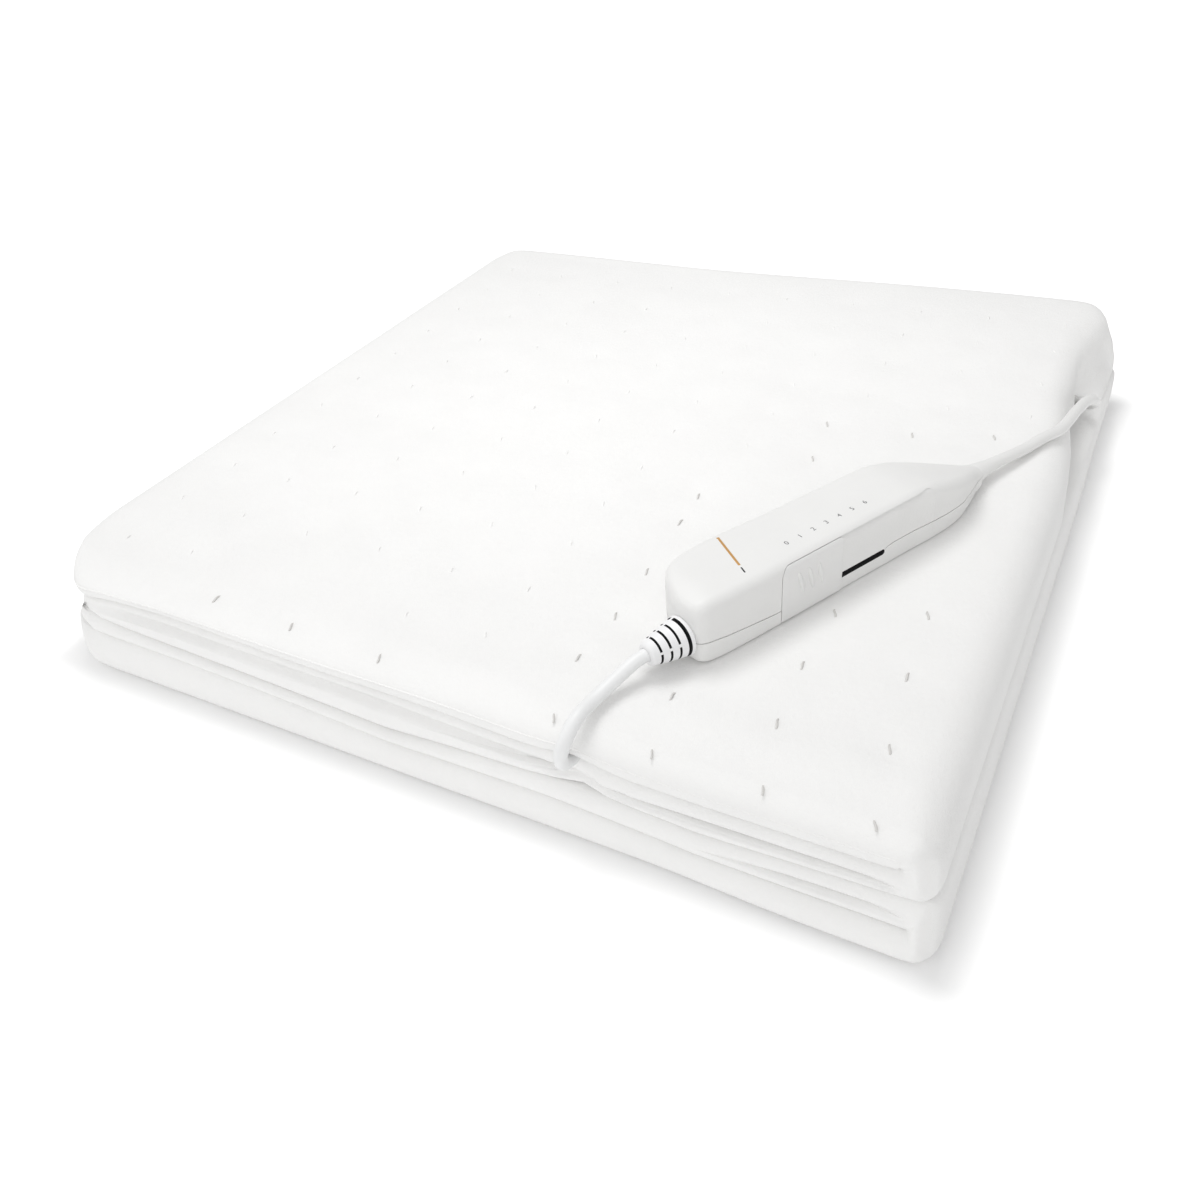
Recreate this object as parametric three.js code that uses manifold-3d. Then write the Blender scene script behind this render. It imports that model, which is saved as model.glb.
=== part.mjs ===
// Electric underblanket, folded for storage, with its slide controller lying on top.
// Units are millimetres, +Z is up, and the origin is under the middle of the folded pad.
// The front of the pad is its long fold, at -Y, and its hemmed edge is at the back, at +Y.

import * as THREE from "three";
import { mergeVertices } from "three/addons/utils/BufferGeometryUtils.js";
import Module from "manifold-3d";

const wasm = await Module();
wasm.setup();

// Clearances and cutting

const restGap = 0.3;            // between pieces that touch
const slideGap = 0.3;           // round what slides
const cordPlay = 0.5;           // over and under a cord that runs between two layers
const boreGap = 0.3;            // between a cord and the bore that it passes
const cutOverrun = 1.0;         // how far a cutting tool runs past the face that it cuts

// Cloth: one sheet, folded along its length and then zigzagged into four passes

const packWidth = 400;
const packDepth = 407.5;
const faceThickness = 2.4;
const wireSpace = 2.2;
const backingThickness = 1.4;
const innerSlit = 0.4;
const passSlit = 0.6;
const hemWidth = 14;
const topEndInset = 4;          // the free end of the top pass stops short of the pad's side
const cornerInset = 12;         // how far the front fold draws back at a free end
const cornerShoulder = 3;       // the same, where the wire turns
const turnInset = 1;            // the front fold at a side nose
const recessedInset = 5;        // the second pass lies deeper than its neighbours
const thirdInset = 2;
const cordNotchInset = 3.5;      // the third pass draws back where the mains cord goes in
const backCornerInset = 7;
const turnSteps = 6;            // even, so that a facet corner lies on the outermost point
const foldSteps = 4;

// Heating wire

const wireDiameter = 1.6;
const wireSides = 5;
const wireRowPitch = 116;
const wireEndInset = 16;        // from a free end to the turn of the wire
const wireBend = 6;
const wireDrop = 1.5;           // bend where the wire leaves its layer for the terminal
const wireTail = 1.8;           // above the cloth, inside the terminal
const wireHole = 1.3;

// Cords

const cordDiameter = 5.2;
const cordSides = 8;
const mainsCordX = 77;

// Mouth at the back right, where the blanket lead goes in between the layers

const mouthLift = 10.5;
const mouthDrawIn = 5;
const mouthStart = 60;          // left of the middle, where the upper layers begin to rise
const mouthEnd = 130;           // right of the middle, where they are fully raised
const liftMidShare = 0.1;       // of the lift, at the second row of wire from the back
const liftCordShare = 0.5;      // of the lift, over the mains cord

// Levels of the four passes

const cordSpace = cordDiameter + 2 * cordPlay;
const stripThickness = 2 * (faceThickness + wireSpace + backingThickness) + innerSlit;
const outerOffset = stripThickness / 2;
const wireOuterOffset = outerOffset - faceThickness;
const backingOffset = wireOuterOffset - wireSpace;
const slitOffset = innerSlit / 2;
const wireOffset = (wireOuterOffset + backingOffset) / 2;
const hemOffset = backingOffset + restGap;
const levelOne = outerOffset;
const levelTwo = levelOne + stripThickness + passSlit;
const levelThree = levelTwo + stripThickness + passSlit;
const levelFour = levelThree + stripThickness + cordSpace;
const padTop = levelFour + outerOffset;

// Controller, in its own axes: u along it from the mains end, v across it, w up

const caseLength = 164;
const caseWidth = 34;
const caseHeight = 25;
const caseWall = 2.0;
const caseFloor = 1.6;
const caseRound = 3;
const cavityRound = 1.2;
const mainsEndWall = 2.4;
const leadEndWall = 12;
const seamStart = 8.5;          // height of the seam at the mains end
const seamHeight = 5.2;         // and from the level slider on
const seamKnee = 37;
const seamGap = 0.3;
const controllerPlace = { x: 104, y: -155.6 };
const controllerHeading = 63.6; // degrees from +X
const mainsEntry = 9;           // v of the mains cord
const leadEntry = 13.5;         // v of the blanket lead

// Plan and side outline of the case as shares of its length, width, width, height and height:
// along, near edge, far edge, bottom, top
const caseOutlineShares = [
  [0, 0.118, 0.588, 0.06, 0.84],
  [0.009, 0.047, 0.75, 0.02, 0.928],
  [0.03, 0.009, 0.882, 0, 0.976],
  [0.079, 0, 0.982, 0, 1],
  [0.183, 0, 1, 0, 1],
  [0.366, 0, 0.959, 0, 1],
  [0.671, 0, 0.912, 0, 1],
  [0.732, 0.006, 0.871, 0.016, 0.952],
  [0.793, 0.029, 0.794, 0.02, 0.848],
  [0.854, 0.088, 0.706, 0.02, 0.72],
  [0.915, 0.176, 0.618, 0.02, 0.584],
  [0.976, 0.241, 0.547, 0.016, 0.44],
  [1, 0.253, 0.541, 0.016, 0.384],
];

// Level slider

const travelShare = 0.25;       // of the case's length
const capStartShare = 0.2378;   // the same, to the cap's mains end at level 0
const sliderTravel = travelShare * caseLength;
const capStart = capStartShare * caseLength;
const levelCount = 7;
const capLength = 31;
const capBottom = 1.6;
const capTop = 20.9;
const capThickness = 2.3;
const capRound = 4;
const gripRibCount = 3;
const gripRibPitch = 5;
const gripRibWidth = 1.6;
const gripRibHeight = 0.9;
const gripStart = 7;
const gripSlant = 4.4;
const gripMargin = 1.2;         // the ribs stop short of the cap's bottom and top
const recessEndRoom = 7;        // past the cap at its last level
const recessWall = 2.0;
const stemLength = 5;
const stemHeight = 1.8;
const stemReach = 2.4;          // into the carriage
const stemOffset = 11.5;        // from the cap's mains end to the middle of the stem
const carriageLength = 16;
const carriageWidth = 6;
const carriageHeight = 4;
const wiperThickness = 0.4;
const wiperWidth = 4;
const wiperLength = 12;
const trackThickness = 0.7;
const trackWidth = 6;
const railDepth = 2.0;
const railHeight = 4.7;
const railMargin = 5;
const notchRadius = 0.9;
const springThickness = 0.6;
const springLength = 12;
const springWidth = 3;
const springNose = 0.6;

// Circuit board and what stands on it

const boardThickness = 1.6;
const boardBottom = 4.4;
const boardStart = 27;
const boardTail = 38;           // from the board to the lead end of the case
const boardLength = caseLength - boardTail - boardStart;
const boardNear = 15.2;
const boardWidth = 10.8;
const boardPadSide = 3;
const holdDownThickness = 2;
const resistorHeight = 6;
const resistorInset = 2;
const capacitorHeight = 11;
const capacitorInset = 1;
const fuseRadius = 2;
const triacHeight = 10;
const triacInset = 2;
const ledLength = 5;
const ledWidth = 3;
const ledHeight = 2;
const boardLayoutShares = {
  resistor: [0.11, 0.27],
  firstHoldDown: 0.305,
  capacitor: [0.335, 0.515],
  fuse: [0.555, 0.665],
  secondHoldDown: 0.7,
  triac: [0.735, 0.835],
};

// Indicator window

const indicatorLength = 25;
const indicatorWidth = 1.6;
const indicatorPlace = { u: 30.25, v: 17.6 };
const indicatorAngle = 72.5;    // degrees from the controller's length
const indicatorFlange = 1.2;
const indicatorFlangeThickness = 1.0;
const lightPipeRadius = 1.5;

// Screws

const midScrewLead = 0.5;       // from the second screw to the cap's mains end
const lastScrewTail = 39.7;     // from the third screw to the lead end of the case
const caseScrewPlaces = [
  { u: 11, v: 25.5 },
  { u: capStart - midScrewLead, v: 9.8 },
  { u: caseLength - lastScrewTail, v: 9 },
];
const caseScrewRadius = 1.2;
const caseScrewLength = 12.8;
const caseScrewHeadRadius = 2.3;
const caseScrewHeadHeight = 1.6;
const screwPostRadius = 2.8;
const screwBossRadius = 3.6;
const clampScrewRadius = 0.9;
const clampScrewHeadRadius = 1.7;
const clampScrewHeadHeight = 1.2;
const clampScrewSpacing = 8.8;

// Cord entries of the controller

const clampLength = 5;
const clampWidth = 12.4;
const clampHeight = 4.2;
const mainsClampStart = 7;
const leadClampTail = 23;       // from the start of the clamp to the lead end of the case
const leadClampStart = caseLength - leadClampTail;
const mainsCordEnd = 16;        // u where the sheath ends
const leadSheathTail = 26;      // from the end of the sheath to the lead end of the case
const leadSheathEnd = caseLength - leadSheathTail;
const mainsTerminalLength = 9.2;
const mainsTerminalWidth = 13;
const mainsTerminalHeight = 9.6;
const leadTerminalLength = 9.7;
const leadTerminalWidth = 12;
const leadTerminalHeight = 7.2;
const bootLength = 16.5;
const bootBase = 7.8;
const bootTip = 4.7;
const bootNeck = 4.6;
const bootFlange = 5.4;
const bootFlangeThickness = 1.5;
const bootSlotCount = 4;
const bootSlotPitch = 3.6;
const bootSlotWidth = 1.2;
const bootSlotStart = 2.2;
const bootCore = 3.7;
const leadReliefLength = 16;
const leadReliefBase = 4.4;
const leadReliefTip = 3.4;
const leadNeck = 3.5;
const leadCollar = 4.0;
const leadCollarStart = 5.3;    // behind the end face of the case
const leadCollarLength = 2.4;

// Terminal on the blanket, in its own axes: a inwards, b across, c up

const terminalLength = 34;
const terminalWidth = 22;
const terminalHeight = 8.4;
const terminalRound = 3;
const terminalWall = 1.4;
const terminalFloor = 1.2;
const terminalAxis = 4.2;
const terminalPlace = { x: 175.4, y: 160.6 };
const terminalHeading = 125;    // degrees from +X
const crimpRadius = 1.2;
const crimpLength = 8;
const crimpStart = 5;
const crimpSpacing = 4.4;
const terminalNeck = 3.4;
const terminalReliefLength = 12;
const terminalReliefBase = 3.9;
const terminalReliefTip = 3.5;

// Cord coil behind the pad, and its strap

const coilPitch = 6.0;
const coilRadius = 40;
const coilTurnsPerLayer = 3.25;
const coilClimbTurns = 0.5;
const coilLayerPitch = 5.8;
const coilStepsPerTurn = 24;
const coilSides = 6;
const coilCentreY = 265;
const standGap = 0.1;
const tieThickness = 0.7;
const tieWidth = 8;
const tieSlack = 0.5;

// Plug, lying flat

const plugLength = 36;
const plugWidth = 35;
const plugThickness = 14;
const plugReliefLength = 20;
const plugReliefBase = 5;
const plugReliefTip = 3.6;
const plugPlace = { x: -48.3, y: 232.3 };  // the middle of the face where the cord enters
const pinRadius = 2;
const pinLength = 19;
const pinSpacing = 19;
const pinInside = 12;

// Plan of the plug's body, as shares of its length and of half its width
const plugOutlineShares = [[0, 0.34], [0.4, 1], [0.86, 1], [1, 0.76]];

// The cords' own routes: hand-chosen points of their centre lines, in the part's axes

const mainsCordRoute = [
  [103.05, -137.27, 65.8], [95.94, -151.6, 65.8], [88.6, -166.38, 65.8], [86.75, -170.1, 65.6],
  [84.9, -174.2, 64.6], [83, -178.8, 63.1], [81.2, -183.6, 61.9], [79.9, -188.4, 61.2],
  [79.1, -193.4, 61.2], [78.7, -199, 61.6], [78.3, -204.2, 60.2], [77.5, -208, 56.4],
  [76.2, -209.4, 51.2], [75.2, -208, 46], [74.7, -204.2, 42.19], [74.8, -199, 40.85],
  [75.3, -195.3, 41.2], [75.9, -191, 41.4], [76.5, -182, 41.5], [77, -168, 41.5],
  [77, -145, 41.5], [77, -110, 41.5], [77, -80, 41.5], [77, -58, 41.5],
  [77, -20, 41.67], [77, 20, 41.85], [77, 58, 42.03], [77, 85, 43.13],
  [77, 115, 44.35], [77, 145, 45.57], [77, 174, 46.75], [77, 190, 46.75],
  [77, 204, 46.75], [77, 211.5, 45.4], [77, 218.1, 41.6], [77, 223.05, 35.75],
  [77, 229.1, 25.2], [77, 235.2, 14.7], [77, 240.1, 8.85], [77, 246.7, 5],
  [77, 254.2, 3.7], [77, 259.5, 3.7],
];
const mainsTailRoute = [
  [-3, 259.5, 9.5], [-3, 254.3, 9.5], [-5.95, 243.3, 8.8], [-14, 235.25, 7.7],
  [-25, 232.3, 7.1], [-31, 232.3, 7.1], [-40, 232.3, 7.1], [-48, 232.3, 7.1],
];
const blanketLeadRoute = [
  [153.27, -25.99, 62.5], [160.5, -11.43, 62.5], [171.94, 11.63, 62.5], [175.9, 19.5, 61.7],
  [180.3, 29.5, 60.6], [186, 43, 60.1], [191, 54, 59.2], [193.6, 68, 58.2],
  [195.4, 82, 56.8], [197.6, 96, 54.5], [199.9, 108, 49.5], [200.2, 117, 44],
  [198.6, 126, 38.3], [194.2, 134.5, 33.6], [188.3, 142.3, 31], [182.46, 150.52, 29.9],
  [177.7, 157.3, 29.9], [173.39, 163.47, 29.9],
];

const wholeTurn = 2 * Math.PI;

// Materials

const colours = {
  cloth: 0xf4f3ef, backing: 0xe9e6df, shell: 0xe4e4e2, cap: 0xe0e0de, cord: 0xeeeeec, rubber: 0xf1f1ef,
  dark: 0x26282a, board: 0x2f6a45, copper: 0xb87546, steel: 0xb9bcc0, amber: 0xd9a03a, resistor: 0xc9b28a,
  red: 0xb5463a, carbon: 0x303235,
};
const finish = (color, roughness, metalness = 0) => (
  new THREE.MeshStandardMaterial({ color, roughness, metalness })
);
const clothFinish = finish(colours.cloth, 0.95);
const backingFinish = finish(colours.backing, 0.95);
const wireFinish = finish(colours.red, 0.6);
const shellFinish = finish(colours.shell, 0.45);
const capFinish = finish(colours.cap, 0.45);
const cordFinish = finish(colours.cord, 0.5);
const rubberFinish = finish(colours.rubber, 0.6);
const darkFinish = finish(colours.dark, 0.5);
const boardFinish = finish(colours.board, 0.5);
const copperFinish = finish(colours.copper, 0.35, 1);
const steelFinish = finish(colours.steel, 0.35, 1);
const amberFinish = finish(colours.amber, 0.25);
const resistorFinish = finish(colours.resistor, 0.7);
const carbonFinish = finish(colours.carbon, 0.6);

// The scene graph

const underblanket = new THREE.Group();
const pad = new THREE.Group();
const controller = new THREE.Group();
const terminal = new THREE.Group();
controller.position.set(controllerPlace.x, controllerPlace.y, padTop + restGap);
controller.rotation.z = THREE.MathUtils.degToRad(controllerHeading);
terminal.position.set(terminalPlace.x, terminalPlace.y, levelTwo + outerOffset + restGap);
terminal.rotation.z = THREE.MathUtils.degToRad(terminalHeading);
underblanket.add(pad, controller, terminal);

function addPart(parent, name, geometry, material) {
  const mesh = new THREE.Mesh(geometry, material);
  mesh.name = name;
  parent.add(mesh);
}

// Closed skins over rows of rings

function signedVolume(points, faces) {
  let volume = 0;
  for (const [a, b, c] of faces) {
    volume += points[a].dot(new THREE.Vector3().crossVectors(points[b], points[c]));
  }
  return volume;
}

function meshOf(points, faces) {
  const outward = signedVolume(points, faces) > 0;
  const geometry = new THREE.BufferGeometry();
  const places = points.flatMap((p) => [p.x, p.y, p.z]);
  geometry.setAttribute("position", new THREE.Float32BufferAttribute(places, 3));
  geometry.setIndex(faces.flatMap(([a, b, c]) => (outward ? [a, b, c] : [a, c, b])));
  return geometry;
}

// capFaces gives the triangles that close a ring, as indices within that ring.
// crossed says which of a ring's sides are parted along their other diagonal.
function skin(rings, capFaces, crossed = () => false) {
  const count = rings[0].length;
  const faces = [];
  for (let i = 0; i + 1 < rings.length; i += 1) {
    for (let k = 0; k < count; k += 1) {
      const next = (k + 1) % count;
      const [a, b, c, d] = [i * count + k, i * count + next, (i + 1) * count + next, (i + 1) * count + k];
      faces.push(...(crossed(k, count) ? [[a, b, d], [b, c, d]] : [[a, b, c], [a, c, d]]));
    }
  }
  const last = (rings.length - 1) * count;
  for (const [a, b, c] of capFaces(count)) {
    faces.push([a, c, b], [last + a, last + b, last + c]);
  }
  return meshOf(rings.flat(), faces);
}

function fanCap(count) {
  const faces = [];
  for (let k = 1; k + 1 < count; k += 1) {
    faces.push([0, k, k + 1]);
  }
  return faces;
}

// For a ring whose first half runs along one side of a thin wall and its second half back along the other
function wallCap(count) {
  const faces = [];
  for (let k = 0; k + 1 < count / 2; k += 1) {
    faces.push([k, k + 1, count - 2 - k], [k, count - 2 - k, count - 1 - k]);
  }
  return faces;
}

// The walls of such a ring lie side by side, and this keeps their facets parallel
function wallDiagonal(k, count) {
  const half = count / 2;
  const along = k < half ? k : count - 2 - k;
  return (along >= (half - 1) / 2) !== (k >= half);
}

// A round tube through points, its section carried along without twist; place maps each point into the part
function sweptTube(path, radius, sides, place = (p) => p) {
  const tangents = path.map((p, i) => {
    const before = path[Math.max(i - 1, 0)];
    const after = path[Math.min(i + 1, path.length - 1)];
    return after.clone().sub(before).normalize();
  });
  const steep = Math.abs(tangents[0].z) > Math.SQRT1_2;
  const start = steep ? new THREE.Vector3(1, 0, 0) : new THREE.Vector3(0, 0, 1);
  let side = start.clone().addScaledVector(tangents[0], -start.dot(tangents[0])).normalize();
  const rings = path.map((p, i) => {
    side = side.clone().addScaledVector(tangents[i], -side.dot(tangents[i])).normalize();
    const across = new THREE.Vector3().crossVectors(tangents[i], side);
    return Array.from({ length: sides }, (_, k) => {
      const angle = (wholeTurn * k) / sides;
      const offset = side.clone().multiplyScalar(radius * Math.cos(angle));
      return place(p.clone().add(offset).addScaledVector(across, radius * Math.sin(angle)));
    });
  });
  return skin(rings, fanCap);
}

// Cuts and joins

function toSolid(geometry) {
  const bare = geometry.clone();
  bare.deleteAttribute("normal");
  bare.deleteAttribute("uv");
  const merged = mergeVertices(bare);
  const vertProperties = new Float32Array(merged.attributes.position.array);
  const triVerts = new Uint32Array(merged.index.array);
  return new wasm.Manifold(new wasm.Mesh({ numProp: 3, vertProperties, triVerts }));
}

function toGeometry(solid) {
  const { vertProperties, triVerts } = solid.getMesh();
  const geometry = new THREE.BufferGeometry();
  geometry.setAttribute("position", new THREE.BufferAttribute(new Float32Array(vertProperties), 3));
  geometry.setIndex(new THREE.BufferAttribute(new Uint32Array(triVerts), 1));
  return geometry;
}

function cut(geometry, tools) {
  return toGeometry(tools.reduce((body, tool) => body.subtract(toSolid(tool)), toSolid(geometry)));
}

function join(geometry, pieces) {
  return toGeometry(pieces.reduce((body, piece) => body.add(toSolid(piece)), toSolid(geometry)));
}

// Limits, and plain shapes between them

const around = ([low, high], gap) => [low - gap, high + gap];
const centred = (middle, length) => [middle - length / 2, middle + length / 2];

function block([x0, x1], [y0, y1], [z0, z1]) {
  const geometry = new THREE.BoxGeometry(x1 - x0, y1 - y0, z1 - z0);
  return geometry.translate((x0 + x1) / 2, (y0 + y1) / 2, (z0 + z1) / 2);
}

function rod(from, to, radius, sides = 16) {
  const axis = to.clone().sub(from);
  const geometry = new THREE.CylinderGeometry(radius, radius, axis.length(), sides);
  const upright = new THREE.Vector3(0, 1, 0);
  geometry.applyQuaternion(new THREE.Quaternion().setFromUnitVectors(upright, axis.clone().normalize()));
  const middle = from.clone().add(to).multiplyScalar(0.5);
  return geometry.translate(middle.x, middle.y, middle.z);
}

// A turned sleeve along +X, from a closed profile of [distance along, radius] pairs
function sleeve(profile, axis, sides = 20) {
  const points = [...profile, profile[0]].map(([along, radius]) => new THREE.Vector2(radius, along));
  const turned = new THREE.LatheGeometry(points, sides).rotateZ(-Math.PI / 2).translate(0, axis.v, axis.w);
  return toGeometry(toSolid(turned));
}

function roundedOutline([x0, x1], [y0, y1], radius) {
  const shape = new THREE.Shape();
  shape.moveTo(x0 + radius, y0);
  shape.lineTo(x1 - radius, y0);
  shape.absarc(x1 - radius, y0 + radius, radius, -Math.PI / 2, 0);
  shape.lineTo(x1, y1 - radius);
  shape.absarc(x1 - radius, y1 - radius, radius, 0, Math.PI / 2);
  shape.lineTo(x0 + radius, y1);
  shape.absarc(x0 + radius, y1 - radius, radius, Math.PI / 2, Math.PI);
  shape.lineTo(x0, y0 + radius);
  shape.absarc(x0 + radius, y0 + radius, radius, Math.PI, 1.5 * Math.PI);
  return shape;
}

function slab(shape, [z0, z1], curveSegments = 3) {
  const geometry = new THREE.ExtrudeGeometry(shape, { depth: z1 - z0, bevelEnabled: false, curveSegments });
  return geometry.translate(0, 0, z0);
}

// The fold line of the cloth, seen from the front: four passes and the three noses between them.
// A station has its place, the direction of the strip's inner side, and how the layers lift and sink there.

const halfWidth = packWidth / 2;
const halfDepth = packDepth / 2;
const lowerTurn = (levelTwo - levelOne) / 2;
const middleTurn = (levelThree - levelTwo) / 2;
const upperTurn = (levelFour - levelThree) / 2;
const lowerTurnX = halfWidth - lowerTurn - outerOffset;
const middleTurnX = -(halfWidth - middleTurn - outerOffset);
const upperTurnX = halfWidth - upperTurn - outerOffset;

const rowShares = [1.5, 0.5, -0.5, -1.5];
const rowPlaces = rowShares.map((share) => share * wireRowPitch);
const terminalAngle = THREE.MathUtils.degToRad(terminalHeading);
const wireAlongTerminal = (rowPlaces[0] - terminalPlace.y) / Math.sin(terminalAngle);
const wireExitX = terminalPlace.x + wireAlongTerminal * Math.cos(terminalAngle);

const flat = { raise: 0, leftSink: 0, rightSink: 0, top: 0, backInset: 0 };
const open = { ...flat, leftSink: 1 };
const overCord = { ...flat, raise: liftCordShare };
const raised = { ...flat, raise: 1, rightSink: 1 };

function run(level, inner, stations) {
  return stations.map((station) => ({ ...flat, z: level, nx: 0, nz: inner, ...station }));
}

// bulge is +1 for a nose on the right and -1 for one on the left
function nose(centreX, radius, centreZ, bulge, extra, topRises = false) {
  return Array.from({ length: turnSteps - 1 }, (_, k) => {
    const angle = -Math.PI / 2 + (Math.PI * (k + 1)) / turnSteps;
    const top = topRises ? (1 + Math.sin(angle)) / 2 : 0;
    return {
      ...flat, ...extra, top,
      x: centreX + bulge * radius * Math.cos(angle), z: centreZ + radius * Math.sin(angle),
      nx: -Math.cos(angle), nz: -bulge * Math.sin(angle),
    };
  });
}

const lowerFree = -halfWidth;
const upperFree = -halfWidth + topEndInset;
const stations = [
  ...run(levelOne, 1, [
    { x: lowerFree, inset: cornerInset, backInset: backCornerInset, hem: 1 },
    { x: lowerFree + wireEndInset, inset: cornerShoulder },
    { x: 0, inset: 0 },
    { x: lowerTurnX, inset: turnInset },
  ]),
  ...nose(lowerTurnX, lowerTurn, (levelOne + levelTwo) / 2, 1, { inset: turnInset }),
  ...run(levelTwo, -1, [
    { x: lowerTurnX, inset: turnInset },
    { x: wireExitX, inset: turnInset },
    { x: 0, inset: recessedInset },
    { x: middleTurnX, inset: thirdInset },
  ]),
  ...nose(middleTurnX, middleTurn, (levelTwo + levelThree) / 2, -1, { inset: thirdInset }),
  ...run(levelThree, 1, [
    { x: middleTurnX, inset: thirdInset },
    { x: -mouthStart, inset: thirdInset },
    { x: mainsCordX, inset: cordNotchInset, ...overCord },
    { x: mouthEnd, inset: turnInset, ...raised },
    { x: upperTurnX, inset: turnInset, ...raised },
  ]),
  ...nose(upperTurnX, upperTurn, (levelThree + levelFour) / 2, 1, { inset: turnInset, ...raised }, true),
  ...run(levelFour, -1, [
    { x: upperTurnX, inset: turnInset, ...raised, top: 1 },
    { x: mouthEnd, inset: 0, ...raised, top: 1 },
    { x: mainsCordX, inset: 0, ...overCord, top: 1 },
    { x: -mouthStart, inset: 0, ...open, top: 1 },
    { x: -halfWidth / 2, inset: 0, ...open, top: 1 },
    { x: upperFree + wireEndInset, inset: cornerShoulder, ...open, top: 1 },
    { x: upperFree, inset: cornerInset, ...open, backInset: backCornerInset, top: 1, hem: 1 },
  ]),
];

let walked = 0;
stations.forEach((station, i) => {
  const before = stations[Math.max(i - 1, 0)];
  walked += Math.hypot(station.x - before.x, station.z - before.z);
  station.u = walked;
});

// The lift of the mouth grows towards the back, in straight stretches between the rows of wire
function liftShare(y) {
  const [backRow, midRow, startRow] = rowPlaces;
  if (y <= startRow) {
    return 0;
  }
  if (y <= midRow) {
    return (liftMidShare * (y - startRow)) / (midRow - startRow);
  }
  return Math.min(1, liftMidShare + ((1 - liftMidShare) * (y - midRow)) / (backRow - midRow));
}

function atStation(station, y, n) {
  const share = liftShare(y);
  const lift = mouthLift * station.raise * share;
  const sinkShare = station.leftSink + station.rightSink * share;
  const sink = station.top * sinkShare * (cordSpace - passSlit);
  const outwards = Math.max(0, (station.x - mouthEnd) / (upperTurnX - mouthEnd));
  const drawIn = mouthDrawIn * station.raise * Math.min(1, outwards) * share;
  const rise = lift - sink;
  return new THREE.Vector3(station.x + n * station.nx - drawIn, y, station.z + n * station.nz + rise);
}

// A point of the strip by its way along the fold line, its depth and its offset from the strip's middle
function folded(u, y, n) {
  let i = 1;
  while (i < stations.length - 1 && stations[i].u < u) {
    i += 1;
  }
  const share = (u - stations[i - 1].u) / (stations[i].u - stations[i - 1].u);
  return atStation(stations[i - 1], y, n).lerp(atStation(stations[i], y, n), share);
}

const frontOf = (station) => -halfDepth + station.inset + outerOffset;
const backOf = (station) => halfDepth - station.backInset;

// The section of the strip is a long U, open at the back hem and round at the front fold
function contour(station, offset, hemEdge) {
  const back = backOf(station);
  const legPlaces = [back, halfDepth - hemWidth, ...rowPlaces];
  const legOffset = (place, k) => (k === 0 || station.hem ? hemEdge : offset);
  const upperLeg = legPlaces.map((y, k) => atStation(station, y, legOffset(y, k)));
  const lowerLeg = legPlaces.map((y, k) => atStation(station, y, -legOffset(y, k))).reverse();
  const bend = Array.from({ length: foldSteps + 1 }, (_, k) => {
    const angle = (Math.PI * k) / foldSteps;
    const reach = station.hem ? hemEdge : offset;
    return atStation(station, frontOf(station) - reach * Math.sin(angle), reach * Math.cos(angle));
  });
  return [...upperLeg, ...bend, ...lowerLeg];
}

const clothSkin = (outer, inner, hemEdge) => skin(
  stations.map((station) => [
    ...contour(station, outer, outer),
    ...contour(station, inner, hemEdge).reverse(),
  ]),
  wallCap,
  wallDiagonal,
);

function faceCloth() {
  const cloth = clothSkin(outerOffset, wireOuterOffset, hemOffset);
  const low = levelTwo + backingOffset;
  const high = levelTwo + outerOffset + restGap;
  const hole = rod(
    new THREE.Vector3(wireExitX, rowPlaces[0], low),
    new THREE.Vector3(wireExitX, rowPlaces[0], high),
    wireHole,
    8,
  );
  return cut(cloth, [hole]);
}

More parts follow.
